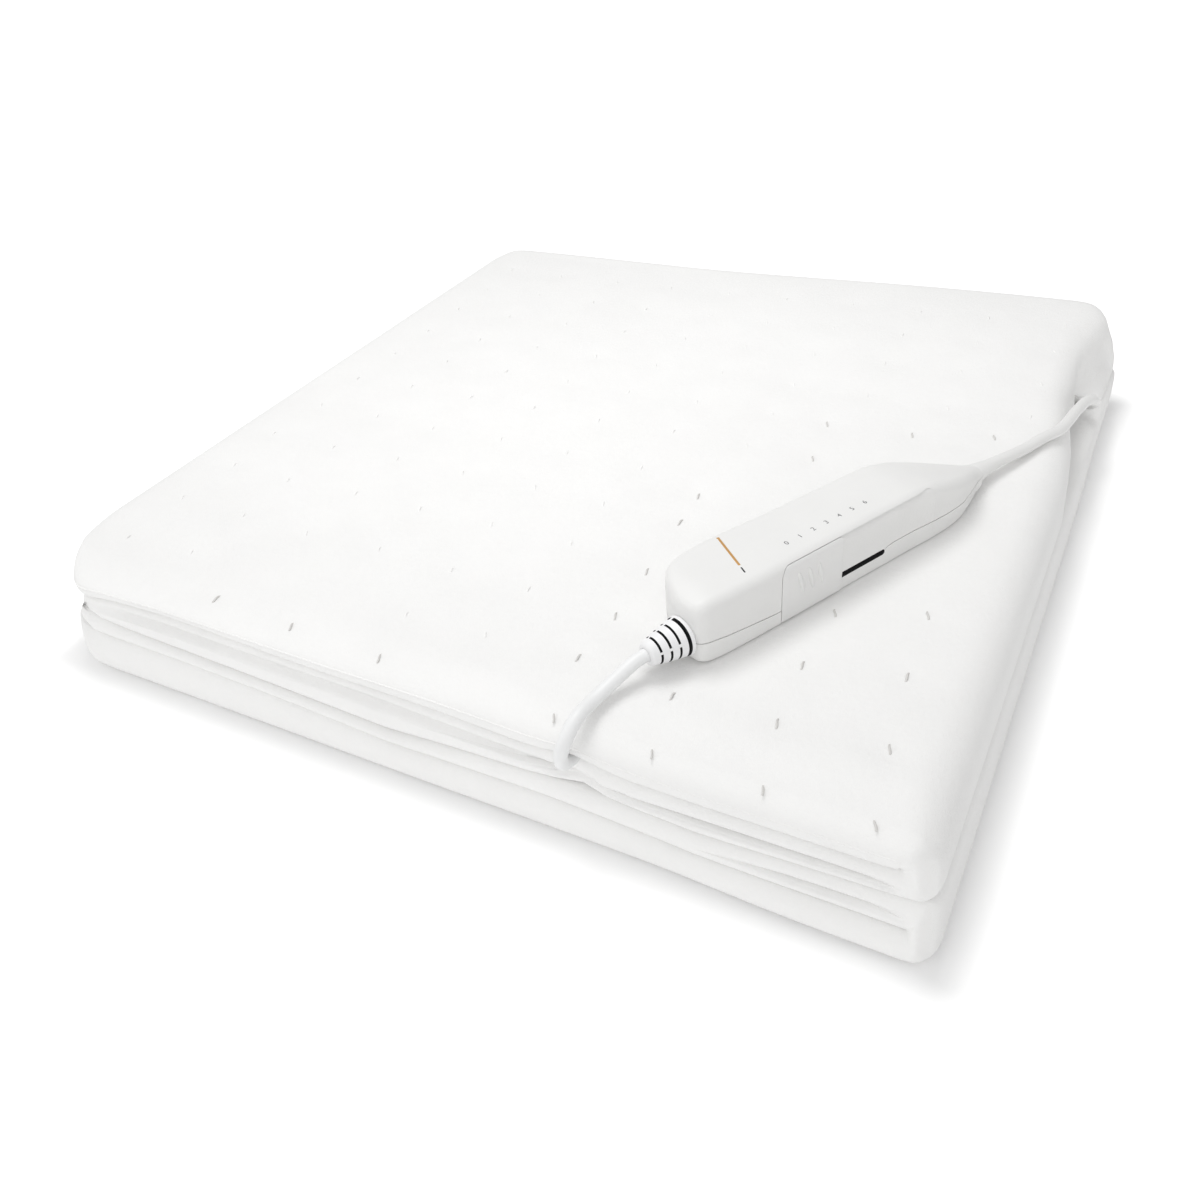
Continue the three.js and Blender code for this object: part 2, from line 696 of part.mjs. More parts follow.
// The wire's path in the strip: x holds the way along the fold line, y the depth and z the offset
function wirePath() {
  const point = (u, y, n) => new THREE.Vector3(u, y, n);
  const firstTurn = stations[1].u;
  const lastTurn = stations[stations.length - 2].u;
  const exit = stations.find((station) => station.x === wireExitX).u;
  const [rowA, rowB, rowC, rowD] = rowPlaces;
  const between = (from, to) => stations.map((s) => s.u).filter(
    (u) => u > Math.min(from, to) && u < Math.max(from, to),
  );
  const path = [
    point(exit, rowA, -(outerOffset + wireTail)),
    point(exit, rowA, -(wireOffset + wireDrop)),
    point(exit + wireDrop * (1 - Math.SQRT1_2), rowA, -(wireOffset + wireDrop * (1 - Math.SQRT1_2))),
    point(exit + wireDrop, rowA, -wireOffset),
  ];

  // One row, from the end of the bend before it to the start of the bend after it
  function row(from, to, y, n) {
    const way = between(from, to);
    const ordered = to > from ? way : way.reverse();
    const reach = ordered.filter((u) => Math.abs(to - u) > wireBend && Math.abs(u - from) > wireBend);
    path.push(...reach.map((u) => point(u, y, n)));
  }

  // A corner between a row and the stretch across, with its own round bend
  function corner(u, y, towards, across, n, entering) {
    const spread = [0, 0.5, 1].map((share) => (share * Math.PI) / 2);
    for (const angle of spread) {
      const a = entering ? angle : Math.PI / 2 - angle;
      path.push(point(
        u - towards * wireBend * (1 - Math.sin(a)),
        y + across * wireBend * (1 - Math.cos(a)),
        n,
      ));
    }
  }

  row(exit, lastTurn, rowA, -wireOffset);
  corner(lastTurn, rowA, 1, -1, -wireOffset, true);
  corner(lastTurn, rowB, 1, 1, -wireOffset, false);
  row(lastTurn, firstTurn, rowB, -wireOffset);
  corner(firstTurn, rowB, -1, -1, -wireOffset, true);
  corner(firstTurn, rowC, -1, 1, -wireOffset, false);
  row(firstTurn, lastTurn, rowC, -wireOffset);
  corner(lastTurn, rowC, 1, -1, -wireOffset, true);
  corner(lastTurn, rowD, 1, 1, -wireOffset, false);
  row(lastTurn, firstTurn, rowD, -wireOffset);
  corner(firstTurn, rowD, -1, -1, -wireOffset, true);
  const front = frontOf(stations[1]);
  for (let k = 0; k <= foldSteps; k += 1) {
    const angle = Math.PI - (Math.PI * k) / foldSteps;
    path.push(point(firstTurn, front - wireOffset * Math.sin(angle), wireOffset * Math.cos(angle)));
  }
  corner(firstTurn, rowD, -1, -1, wireOffset, false);
  row(firstTurn, lastTurn, rowD, wireOffset);
  corner(lastTurn, rowD, 1, 1, wireOffset, true);
  corner(lastTurn, rowC, 1, -1, wireOffset, false);
  row(lastTurn, firstTurn, rowC, wireOffset);
  corner(firstTurn, rowC, -1, 1, wireOffset, true);
  corner(firstTurn, rowB, -1, -1, wireOffset, false);
  row(firstTurn, lastTurn, rowB, wireOffset);
  corner(lastTurn, rowB, 1, 1, wireOffset, true);
  corner(lastTurn, rowA, 1, -1, wireOffset, false);
  row(lastTurn, firstTurn, rowA, wireOffset);
  path.push(point(firstTurn, rowA, wireOffset));
  return path;
}

const heatingWire = () => sweptTube(wirePath(), wireDiameter / 2, wireSides, (p) => folded(p.x, p.y, p.z));

addPart(pad, "face_cloth", faceCloth(), clothFinish);
addPart(pad, "backing_cloth", clothSkin(backingOffset, slitOffset, slitOffset), backingFinish);
addPart(pad, "heating_wire", heatingWire(), wireFinish);

// Case of the controller

const cordRadius = cordDiameter / 2;
const cordBore = cordRadius + boreGap;
const degrees = THREE.MathUtils.degToRad;

function caseLimits(along) {
  const share = along / caseLength;
  let i = 1;
  while (i < caseOutlineShares.length - 1 && caseOutlineShares[i][0] < share) {
    i += 1;
  }
  const [before, after] = [caseOutlineShares[i - 1], caseOutlineShares[i]];
  const part = (share - before[0]) / (after[0] - before[0]);
  const [, near, far, bottom, top] = before.map((value, k) => value + part * (after[k] - value));
  return {
    near: near * caseWidth, far: far * caseWidth,
    bottom: bottom * caseHeight, top: top * caseHeight,
  };
}

function caseSection(along, wall, floor, round) {
  const limits = caseLimits(along);
  const [v0, v1] = [limits.near + wall, limits.far - wall];
  const [w0, w1] = [limits.bottom + floor, limits.top - wall];
  const corners = [[v1, w0, -1, 1], [v1, w1, -1, -1], [v0, w1, 1, -1], [v0, w0, 1, 1]];
  return corners.flatMap(([v, w, inV, inW], k) => [0, 1, 2].map((step) => {
    const angle = (Math.PI / 4) * (step + 2 * k - 2);
    const [across, above] = [inV + Math.cos(angle), inW + Math.sin(angle)];
    return new THREE.Vector3(along, v + round * across, w + round * above);
  }));
}

function caseHull(from, to, wall, floor, round) {
  const places = caseOutlineShares.map(([share]) => share * caseLength).filter((u) => u > from && u < to);
  return skin([from, ...places, to].map((u) => caseSection(u, wall, floor, round)), fanCap);
}

function belowSeam(shift) {
  const shape = new THREE.Shape([
    new THREE.Vector2(-cutOverrun, -cutOverrun),
    new THREE.Vector2(caseLength + cutOverrun, -cutOverrun),
    new THREE.Vector2(caseLength + cutOverrun, seamHeight + shift),
    new THREE.Vector2(seamKnee, seamHeight + shift),
    new THREE.Vector2(0, seamStart + shift),
    new THREE.Vector2(-cutOverrun, seamStart + shift),
  ]);
  return standing(shape, [-cutOverrun, caseWidth + cutOverrun]);
}

// An outline drawn in u and w, drawn out along v
function standing(shape, [v0, v1]) {
  return slab(shape, [0, v1 - v0]).rotateX(Math.PI / 2).translate(0, v1, 0);
}

// A panel with square lower corners and round upper ones
function panelOutline([u0, u1], [w0, w1], round) {
  const shape = new THREE.Shape();
  shape.moveTo(u0, w0);
  shape.lineTo(u1, w0);
  shape.lineTo(u1, w1 - round);
  shape.absarc(u1 - round, w1 - round, round, 0, Math.PI / 2);
  shape.lineTo(u0 + round, w1);
  shape.absarc(u0 + round, w1 - round, round, Math.PI / 2, Math.PI);
  return shape;
}

const upright = ({ u, v }, [w0, w1], radius, sides) => rod(
  new THREE.Vector3(u, v, w0), new THREE.Vector3(u, v, w1), radius, sides,
);
const alongCase = ([u0, u1], { v, w }, radius, sides) => rod(
  new THREE.Vector3(u0, v, w), new THREE.Vector3(u1, v, w), radius, sides,
);

const mainsAxis = { v: mainsEntry, w: seamStart };
const leadAxis = { v: leadEntry, w: seamHeight };
const recessDepth = capThickness + restGap;
const recessBack = recessDepth + recessWall;
const recessStart = capStart - slideGap;
const recessEnd = capStart + capLength + sliderTravel + recessEndRoom;
const stemMiddle = capStart + stemOffset;
const stemSpan = centred(stemMiddle, stemLength);
const slotSpan = [stemSpan[0] - slideGap, stemSpan[1] + sliderTravel + slideGap];
const boardTop = boardBottom + boardThickness;
const boardEnd = boardStart + boardLength;
const boardFar = boardNear + boardWidth;
const onBoard = boardTop + restGap;
const alongBoard = (share) => boardStart + share * boardLength;
const caseCeiling = caseHeight - caseWall;

// Indicator window, laid along its own direction and turned into place
const indicatorFlangeTop = caseCeiling - restGap;
const indicatorFlangeBottom = indicatorFlangeTop - indicatorFlangeThickness;
function indicatorBar(margin, heights) {
  const halfLength = indicatorLength / 2 + margin;
  const halfBar = indicatorWidth / 2 + margin;
  const bar = block([-halfLength, halfLength], [-halfBar, halfBar], heights);
  return bar.rotateZ(degrees(indicatorAngle)).translate(indicatorPlace.u, indicatorPlace.v, 0);
}

function screwPosts(outer) {
  const posts = caseScrewPlaces.map((place) => {
    const post = toSolid(upright(place, [0, caseHeight], screwPostRadius, 16));
    const boss = toSolid(upright(place, [0, seamHeight - seamGap / 2], screwBossRadius, 16));
    return post.add(boss).intersect(outer);
  });
  return posts.reduce((sum, post) => sum.add(post));
}

function caseScrewHole(place) {
  const headEnd = caseScrewHeadHeight + 2 * restGap;
  const shank = upright(place, [-cutOverrun, headEnd + caseScrewLength], caseScrewRadius + restGap, 12);
  const head = upright(place, [-cutOverrun, headEnd], caseScrewHeadRadius + restGap, 16);
  return toSolid(shank).add(toSolid(head));
}

// The whole case before it is parted at the seam
function caseBody() {
  const outer = toSolid(caseHull(0, caseLength, 0, 0, caseRound));
  const backing = toSolid(block(
    [recessStart - recessWall, recessEnd + recessWall], [-cutOverrun, recessBack], [0, caseHeight],
  ));
  const hollowEnd = caseLength - leadEndWall;
  const hollow = toSolid(caseHull(mainsEndWall, hollowEnd, caseWall, caseFloor, cavityRound));
  const recess = standing(
    panelOutline([recessStart, recessEnd], [capBottom - slideGap, capTop + slideGap], capRound + slideGap),
    [-cutOverrun, recessDepth],
  );
  const slot = block(
    slotSpan, [0, recessBack + cutOverrun],
    around(centred(seamHeight, stemHeight), slideGap),
  );
  const collarEnd = caseLength - leadCollarStart;
  const collarSpan = around([collarEnd - leadCollarLength, collarEnd], restGap);
  const endWall = around([caseLength - leadEndWall, caseLength], cutOverrun);
  const tools = [
    recess,
    slot,
    alongCase([-cutOverrun, mainsEndWall + cutOverrun], mainsAxis, bootNeck + restGap, 20),
    alongCase(endWall, leadAxis, leadNeck + restGap, 20),
    alongCase(collarSpan, leadAxis, leadCollar + restGap, 20),
    indicatorBar(restGap, [caseCeiling - cutOverrun, caseHeight + cutOverrun]),
  ].map(toSolid);
  let body = outer.subtract(hollow.subtract(backing)).add(screwPosts(outer));
  for (const tool of [...tools, ...caseScrewPlaces.map(caseScrewHole)]) {
    body = body.subtract(tool);
  }
  return body;
}

// The saddle that carries a cord, in the lower half, cut to the cord and to its clamp's screws
function saddle(start, axis, floor) {
  const span = [start, start + clampLength];
  return toSolid(block(span, centred(axis.v, clampWidth), [floor, axis.w - seamGap / 2]));
}

function clampScrewPlaces(start, axis) {
  return centred(axis.v, clampScrewSpacing).map((v) => ({ u: start + clampLength / 2, v }));
}

const clampCord = (start, axis) => toSolid(
  alongCase([start - cutOverrun, start + clampLength + cutOverrun], axis, cordBore, 16),
);
const mainsFloor = caseFloor;
const leadFloor = caseLimits(leadClampStart).bottom + caseFloor;
const cordEntries = [
  { name: "mains", start: mainsClampStart, axis: mainsAxis, floor: mainsFloor },
  { name: "lead", start: leadClampStart, axis: leadAxis, floor: leadFloor },
];
const joinDepth = seamGap;      // how far a rib or a saddle is sunk into the wall that it grows from
const bodySolid = caseBody();

function lowerCase() {
  let body = bodySolid.intersect(toSolid(belowSeam(-seamGap / 2)));
  for (const { start, axis, floor } of cordEntries) {
    body = body.add(saddle(start, axis, floor - joinDepth)).subtract(clampCord(start, axis));
    for (const place of clampScrewPlaces(start, axis)) {
      body = body.subtract(toSolid(upright(place, [floor, caseHeight], clampScrewRadius + restGap, 12)));
    }
  }
  for (const u of [boardStart, boardEnd - boardPadSide]) {
    for (const v of [boardNear, boardFar - boardPadSide]) {
      const heights = [caseFloor - joinDepth, boardBottom - restGap];
      body = body.add(toSolid(block([u, u + boardPadSide], [v, v + boardPadSide], heights)));
    }
  }
  return toGeometry(body);
}

function upperCase() {
  let body = bodySolid.subtract(toSolid(belowSeam(seamGap / 2)));
  for (const share of [boardLayoutShares.firstHoldDown, boardLayoutShares.secondHoldDown]) {
    const span = centred(alongBoard(share), holdDownThickness);
    const rib = block(span, [boardNear, boardFar], [onBoard, caseCeiling + joinDepth]);
    body = body.add(toSolid(rib));
  }
  return toGeometry(body);
}

addPart(controller, "upper_case", upperCase(), shellFinish);
addPart(controller, "lower_case", lowerCase(), shellFinish);

caseScrewPlaces.forEach((place, i) => {
  const headTop = restGap + caseScrewHeadHeight;
  const shank = upright(place, [restGap, headTop + caseScrewLength], caseScrewRadius, 10);
  const head = upright(place, [restGap, headTop], caseScrewHeadRadius, 14);
  addPart(controller, `case_screw_${i + 1}`, join(head, [shank]), steelFinish);
});

for (const { name, start, axis, floor } of cordEntries) {
  const bottom = axis.w + seamGap / 2;
  const top = bottom + clampHeight;
  const places = clampScrewPlaces(start, axis);
  const holeSpan = [0, top + cutOverrun];
  const holes = places.map((place) => upright(place, holeSpan, clampScrewRadius + restGap, 12));
  const bridge = block([start, start + clampLength], centred(axis.v, clampWidth), [bottom, top]);
  const clamp = toSolid(cut(bridge, holes)).subtract(clampCord(start, axis));
  addPart(controller, `${name}_cord_clamp`, toGeometry(clamp), darkFinish);
  places.forEach((place, i) => {
    const headBottom = top + restGap;
    const headTop = headBottom + clampScrewHeadHeight;
    const shank = upright(place, [floor + restGap, headTop], clampScrewRadius, 10);
    const head = upright(place, [headBottom, headTop], clampScrewHeadRadius, 12);
    addPart(controller, `${name}_clamp_screw_${i + 1}`, join(head, [shank]), steelFinish);
  });
}

// Level slider: the cap outside, with its stem through the slot, and the carriage that it drives

const sliderHeights = { track: caseFloor + restGap };
sliderHeights.wiper = sliderHeights.track + trackThickness + restGap;
sliderHeights.carriage = sliderHeights.wiper + wiperThickness + restGap;
const carriageNear = recessBack + restGap;
const carriageFarSide = carriageNear + carriageWidth;
const stemTip = carriageNear + stemReach;
const stemHeights = centred(seamHeight, stemHeight);

function sliderCap() {
  const outline = panelOutline([capStart, capStart + capLength], [capBottom, capTop], capRound);
  const plate = standing(outline, [0, capThickness]);
  const stem = block(stemSpan, [capThickness - joinDepth, stemTip], stemHeights);
  const [low, high] = [capBottom + gripMargin, capTop - gripMargin];
  const ribs = Array.from({ length: gripRibCount }, (_, i) => {
    const top = capStart + gripStart + i * gripRibPitch;
    const foot = top + gripSlant;
    const rib = new THREE.Shape([
      new THREE.Vector2(foot, low),
      new THREE.Vector2(foot + gripRibWidth, low),
      new THREE.Vector2(top + gripRibWidth, high),
      new THREE.Vector2(top, high),
    ]);
    return standing(rib, [-gripRibHeight, joinDepth]);
  });
  return join(plate, [stem, ...ribs]);
}

function sliderCarriage() {
  const heights = [sliderHeights.carriage, sliderHeights.carriage + carriageHeight];
  const bar = block(centred(stemMiddle, carriageLength), [carriageNear, carriageFarSide], heights);
  const depths = [carriageNear - cutOverrun, stemTip + restGap];
  return cut(bar, [block(around(stemSpan, restGap), depths, around(stemHeights, restGap))]);
}

const springNear = carriageFarSide + restGap;
const springFar = springNear + springThickness;
const railNear = springFar + springNose + slideGap;
const springMiddle = sliderHeights.carriage + carriageHeight / 2;

function detentSpring() {
  const heights = centred(springMiddle, springWidth);
  const leaf = block(centred(stemMiddle, springLength), [springNear, springFar], heights);
  return join(leaf, [upright({ u: stemMiddle, v: springFar }, heights, springNose, 10)]);
}

function detentRail() {
  const span = [stemMiddle - railMargin, stemMiddle + sliderTravel + railMargin];
  const heights = [caseFloor + restGap, caseFloor + restGap + railHeight];
  const rail = block(span, [railNear, railNear + railDepth], heights);
  const notches = Array.from({ length: levelCount }, (_, i) => {
    const u = stemMiddle + (i * sliderTravel) / (levelCount - 1);
    return upright({ u, v: railNear }, around(heights, cutOverrun), notchRadius, 12);
  });
  return cut(rail, notches);
}

addPart(controller, "slider_cap", sliderCap(), capFinish);
addPart(controller, "slider_carriage", sliderCarriage(), darkFinish);
addPart(controller, "wiper_contact", block(
  centred(stemMiddle, wiperLength),
  centred((carriageNear + carriageFarSide) / 2, wiperWidth),
  [sliderHeights.wiper, sliderHeights.wiper + wiperThickness],
), copperFinish);
addPart(controller, "detent_spring", detentSpring(), steelFinish);
addPart(controller, "detent_rail", detentRail(), darkFinish);
addPart(controller, "slide_track", block(
  [stemMiddle - wiperLength / 2, stemMiddle + sliderTravel + wiperLength / 2],
  centred((carriageNear + carriageFarSide) / 2, trackWidth),
  [sliderHeights.track, sliderHeights.track + trackThickness],
), copperFinish);

// Circuit board

const boardMiddle = (boardNear + boardFar) / 2;
const boardPart = ([from, to], inset, height) => block(
  [alongBoard(from), alongBoard(to)], [boardNear + inset, boardFar - inset], [onBoard, onBoard + height],
);
const board = block([boardStart, boardEnd], [boardNear, boardFar], [boardBottom, boardTop]);
const resistor = boardPart(boardLayoutShares.resistor, resistorInset, resistorHeight);
const capacitor = boardPart(boardLayoutShares.capacitor, capacitorInset, capacitorHeight);
const triac = boardPart(boardLayoutShares.triac, triacInset, triacHeight);
addPart(controller, "circuit_board", board, boardFinish);
addPart(controller, "power_resistor", resistor, resistorFinish);
addPart(controller, "film_capacitor", capacitor, amberFinish);
addPart(controller, "triac", triac, carbonFinish);
addPart(controller, "thermal_fuse", alongCase(
  boardLayoutShares.fuse.map(alongBoard), { v: boardMiddle, w: onBoard + fuseRadius }, fuseRadius, 12,
), steelFinish);
addPart(controller, "led", block(
  centred(indicatorPlace.u, ledLength), centred(indicatorPlace.v, ledWidth), [onBoard, onBoard + ledHeight],
), amberFinish);

const lightPipeBottom = onBoard + ledHeight + restGap;
addPart(controller, "indicator_lens", join(indicatorBar(0, [indicatorFlangeBottom, caseHeight]), [
  indicatorBar(indicatorFlange, [indicatorFlangeBottom, indicatorFlangeTop]),
  upright(indicatorPlace, [lightPipeBottom, indicatorFlangeTop - restGap], lightPipeRadius, 12),
]), amberFinish);

// Ends of the cords inside the controller, and their strain reliefs

addPart(controller, "mains_terminal", block(
  [mainsCordEnd + restGap, mainsCordEnd + restGap + mainsTerminalLength],
  centred(mainsAxis.v, mainsTerminalWidth),
  [mainsFloor + restGap, mainsFloor + restGap + mainsTerminalHeight],
), darkFinish);
addPart(controller, "lead_terminal", block(
  [leadSheathEnd - restGap - leadTerminalLength, leadSheathEnd - restGap],
  centred(leadAxis.v, leadTerminalWidth),
  [leadFloor + restGap, leadFloor + restGap + leadTerminalHeight],
), darkFinish);

function mainsBoot() {
  const flangeStart = mainsEndWall + restGap;
  const flangeEnd = flangeStart + bootFlangeThickness;
  const boot = sleeve([
    [-bootLength, cordBore], [-bootLength, bootTip], [-restGap, bootBase], [-restGap, bootNeck],
    [flangeStart, bootNeck], [flangeStart, bootFlange], [flangeEnd, bootFlange], [flangeEnd, cordBore],
  ], mainsAxis);
  const slots = Array.from({ length: bootSlotCount }, (_, i) => {
    const end = -(bootSlotStart + i * bootSlotPitch);
    const span = [end - bootSlotWidth, end];
    return [-1, 1].map((side) => {
      const inner = mainsAxis.v + side * bootCore;
      const outer = mainsAxis.v + side * (bootBase + cutOverrun);
      const depths = [Math.min(inner, outer), Math.max(inner, outer)];
      return block(span, depths, centred(mainsAxis.w, 2 * bootBase));
    });
  });
  return cut(boot, slots.flat());
}

function leadRelief() {
  const face = caseLength + restGap;
  const collarEnd = caseLength - leadCollarStart;
  const collarStart = collarEnd - leadCollarLength;
  const innerEnd = caseLength - leadEndWall + restGap;
  return sleeve([
    [innerEnd, cordBore], [innerEnd, leadNeck], [collarStart, leadNeck], [collarStart, leadCollar],
    [collarEnd, leadCollar], [collarEnd, leadNeck], [face, leadNeck], [face, leadReliefBase],
    [face + leadReliefLength, leadReliefTip], [face + leadReliefLength, cordBore],
  ], leadAxis);
}

addPart(controller, "mains_strain_relief", mainsBoot(), rubberFinish);
addPart(controller, "lead_strain_relief", leadRelief(), rubberFinish);

// Terminal housing on the blanket

const terminalOutline = (inset) => roundedOutline(
  [inset, terminalLength - inset], centred(0, terminalWidth - 2 * inset), terminalRound - inset,
);
const terminalCord = { v: 0, w: terminalAxis };
const terminalSplit = [terminalAxis - seamGap / 2, terminalAxis + seamGap / 2];
const neckBore = () => alongCase(
  [-cutOverrun, terminalWall + cutOverrun], terminalCord, terminalNeck + restGap, 20,
);
addPart(terminal, "terminal_base", cut(slab(terminalOutline(0), [0, terminalSplit[0]]), [
  slab(terminalOutline(terminalWall), [terminalFloor, terminalHeight]),
  neckBore(),
  upright({ u: wireAlongTerminal, v: 0 }, [-cutOverrun, terminalHeight], wireHole, 12),
]), darkFinish);
addPart(terminal, "terminal_cover", cut(slab(terminalOutline(0), [terminalSplit[1], terminalHeight]), [
  slab(terminalOutline(terminalWall), [0, terminalHeight - terminalFloor]),
  neckBore(),
]), darkFinish);
[-1, 1].forEach((side, i) => {
  const axis = { v: (side * crimpSpacing) / 2, w: terminalFloor + restGap + crimpRadius };
  const crimp = alongCase([crimpStart, crimpStart + crimpLength], axis, crimpRadius, 12);
  addPart(terminal, ["crimp_a", "crimp_b"][i], crimp, copperFinish);
});
addPart(terminal, "terminal_strain_relief", sleeve([
  [-restGap - terminalReliefLength, cordBore], [-restGap - terminalReliefLength, terminalReliefTip],
  [-restGap, terminalReliefBase], [-restGap, terminalNeck],
  [terminalWall + restGap, terminalNeck], [terminalWall + restGap, cordBore],
], terminalCord), rubberFinish);

// Cords

class CordPath extends THREE.CatmullRomCurve3 {
  // One step from each chosen point to the next, instead of steps of one length
  getPointAt(share, target) {
    return this.getPoint(share, target);
  }

  getTangentAt(share, target) {
    return this.getTangent(share, target);
  }
}

function cordAlong(route) {
  const path = new CordPath(route.map(([x, y, z]) => new THREE.Vector3(x, y, z)));
  const section = new THREE.Shape(Array.from({ length: cordSides }, (_, k) => {
    const angle = (wholeTurn * (k + 0.5)) / cordSides;
    return new THREE.Vector2(cordRadius * Math.cos(angle), cordRadius * Math.sin(angle));
  }));
  const steps = route.length - 1;
  return new THREE.ExtrudeGeometry(section, { steps, bevelEnabled: false, extrudePath: path });
}

addPart(underblanket, "blanket_lead", cordAlong(blanketLeadRoute), cordFinish);
addPart(underblanket, "mains_cord", cordAlong(mainsCordRoute), cordFinish);
addPart(underblanket, "mains_cord_tail", cordAlong(mainsTailRoute), cordFinish);

// The coil spirals in on its lower layer, climbs where the spiral turns back, and spirals out on top

const coilBase = cordRadius + restGap + tieThickness + standGap;
const coilTurns = 2 * coilTurnsPerLayer;
const coilCentre = new THREE.Vector2(mainsCordX - coilRadius, coilCentreY);

function coilPoint(turns) {
  const inward = Math.min(turns, coilTurns - turns);
  const radius = coilRadius - coilPitch * inward;
  const climbed = (turns - coilTurnsPerLayer) / coilClimbTurns + 1 / 2;
  const height = coilBase + coilLayerPitch * THREE.MathUtils.smoothstep(climbed, 0, 1);
  const angle = wholeTurn * turns;
  const [across, deep] = [radius * Math.cos(angle), radius * Math.sin(angle)];
  return new THREE.Vector3(coilCentre.x + across, coilCentre.y + deep, height);
}

const coilSteps = Math.round(coilTurns * coilStepsPerTurn);
const coilLine = Array.from({ length: coilSteps + 1 }, (_, i) => coilPoint((i * coilTurns) / coilSteps));
const coilPath = [
  coilLine[0].clone().setY(coilCentre.y - cordDiameter),
  ...coilLine,
  coilLine[coilSteps].clone().setY(coilCentre.y - cordDiameter),
];

function leastGap(line, ownTurnSteps) {
  let least = Infinity;
  for (let i = 0; i < line.length; i += 1) {
    for (let j = i + ownTurnSteps; j < line.length; j += 1) {
      least = Math.min(least, line[i].distanceTo(line[j]));
    }
  }
  return least - cordDiameter;
}

console.log(`least gap of the coil to itself: ${leastGap(coilLine, coilStepsPerTurn / 2).toFixed(2)} mm`);
addPart(underblanket, "mains_cord_coil", sweptTube(coilPath, cordRadius, coilSides), cordFinish);

function cordTie() {
  const turnsPassed = [0, 1, 2].map((turn) => turn + 3 / 4);
  const radii = turnsPassed.map((turns) => coilRadius - coilPitch * turns);
  const innerMost = Math.min(...radii) - cordRadius;
  const sag = innerMost - Math.sqrt(innerMost ** 2 - (tieWidth / 2) ** 2);
  const reach = [innerMost - sag - tieSlack, Math.max(...radii) + cordRadius + restGap];
  const heights = [coilBase - cordRadius - restGap, coilBase + coilLayerPitch + cordRadius + restGap];
  const across = ([near, far]) => [coilCentre.y - far, coilCentre.y - near];
  const wide = centred(coilCentre.x, tieWidth);
  const strap = block(wide, across(around(reach, tieThickness)), around(heights, tieThickness));
  return cut(strap, [block(around(wide, cutOverrun), across(reach), heights)]);
}

addPart(underblanket, "cord_tie", cordTie(), darkFinish);

// Plug

const plugAxis = { v: plugPlace.y, w: plugThickness / 2 + standGap };
const pinPlaces = [-1, 1].map((side) => ({ v: plugAxis.v + (side * pinSpacing) / 2, w: plugAxis.w }));
const pinFace = plugPlace.x - plugLength;

function plugBody() {
  const side = (sign) => plugOutlineShares.map(([along, across]) => new THREE.Vector2(
    plugPlace.x - along * plugLength, plugAxis.v + (sign * across * plugWidth) / 2,
  ));
  const outline = new THREE.Shape([...side(1), ...side(-1).reverse()]);
  const boreSpan = [pinFace - cutOverrun, pinFace + pinInside + restGap];
  const bores = pinPlaces.map((axis) => alongCase(boreSpan, axis, pinRadius + restGap, 16));
  return cut(slab(outline, [standGap, standGap + plugThickness]), bores);
}

addPart(underblanket, "plug_body", plugBody(), cordFinish);
pinPlaces.forEach((axis, i) => {
  const pin = alongCase([pinFace - pinLength, pinFace + pinInside], axis, pinRadius, 14);
  addPart(underblanket, ["plug_pin_a", "plug_pin_b"][i], pin, steelFinish);
});
const reliefBase = plugPlace.x + restGap;
addPart(underblanket, "plug_strain_relief", sleeve([
  [reliefBase, cordBore], [reliefBase, plugReliefBase],
  [reliefBase + plugReliefLength, plugReliefTip], [reliefBase + plugReliefLength, cordBore],
], plugAxis), rubberFinish);

export default underblanket;
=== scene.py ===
# %% [markdown]
# # A folded electric underblanket and its slide controller
# The part comes in as solids in metres. Soft and visible surfaces are made again here
# in the same frame, so that nothing has to be fitted afterwards.

# %% Load the solids
import math

import bmesh
import bpy
import numpy as np
from mathutils import Matrix, Vector


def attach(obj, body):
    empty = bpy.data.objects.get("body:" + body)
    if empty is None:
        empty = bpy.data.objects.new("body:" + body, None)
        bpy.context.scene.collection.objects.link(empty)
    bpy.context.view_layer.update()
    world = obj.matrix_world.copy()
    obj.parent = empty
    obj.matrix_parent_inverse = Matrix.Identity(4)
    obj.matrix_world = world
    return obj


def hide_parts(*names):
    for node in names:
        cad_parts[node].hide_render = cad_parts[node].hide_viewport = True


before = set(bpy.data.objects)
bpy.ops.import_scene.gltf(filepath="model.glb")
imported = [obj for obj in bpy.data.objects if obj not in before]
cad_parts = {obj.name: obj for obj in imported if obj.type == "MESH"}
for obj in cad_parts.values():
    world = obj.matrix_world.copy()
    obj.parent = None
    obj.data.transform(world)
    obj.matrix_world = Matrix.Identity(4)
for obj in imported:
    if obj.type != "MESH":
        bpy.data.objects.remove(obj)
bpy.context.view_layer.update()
mm = 0.001
bpy.context.scene.view_settings.view_transform = "Standard"

# %% [markdown]
# ## Camera
# The view is solved from the corners of the pad: from above the right end of the front,
# with a slight roll. The camera's axes are written out from its heading, its tilt down and
# its roll, which is easier to read than a matrix.

# %% Camera
def new_piece(name, data):
    """Object of a mesh, a curve or other data, in the scene."""
    piece = bpy.data.objects.new(name, data)
    bpy.context.scene.collection.objects.link(piece)
    return piece


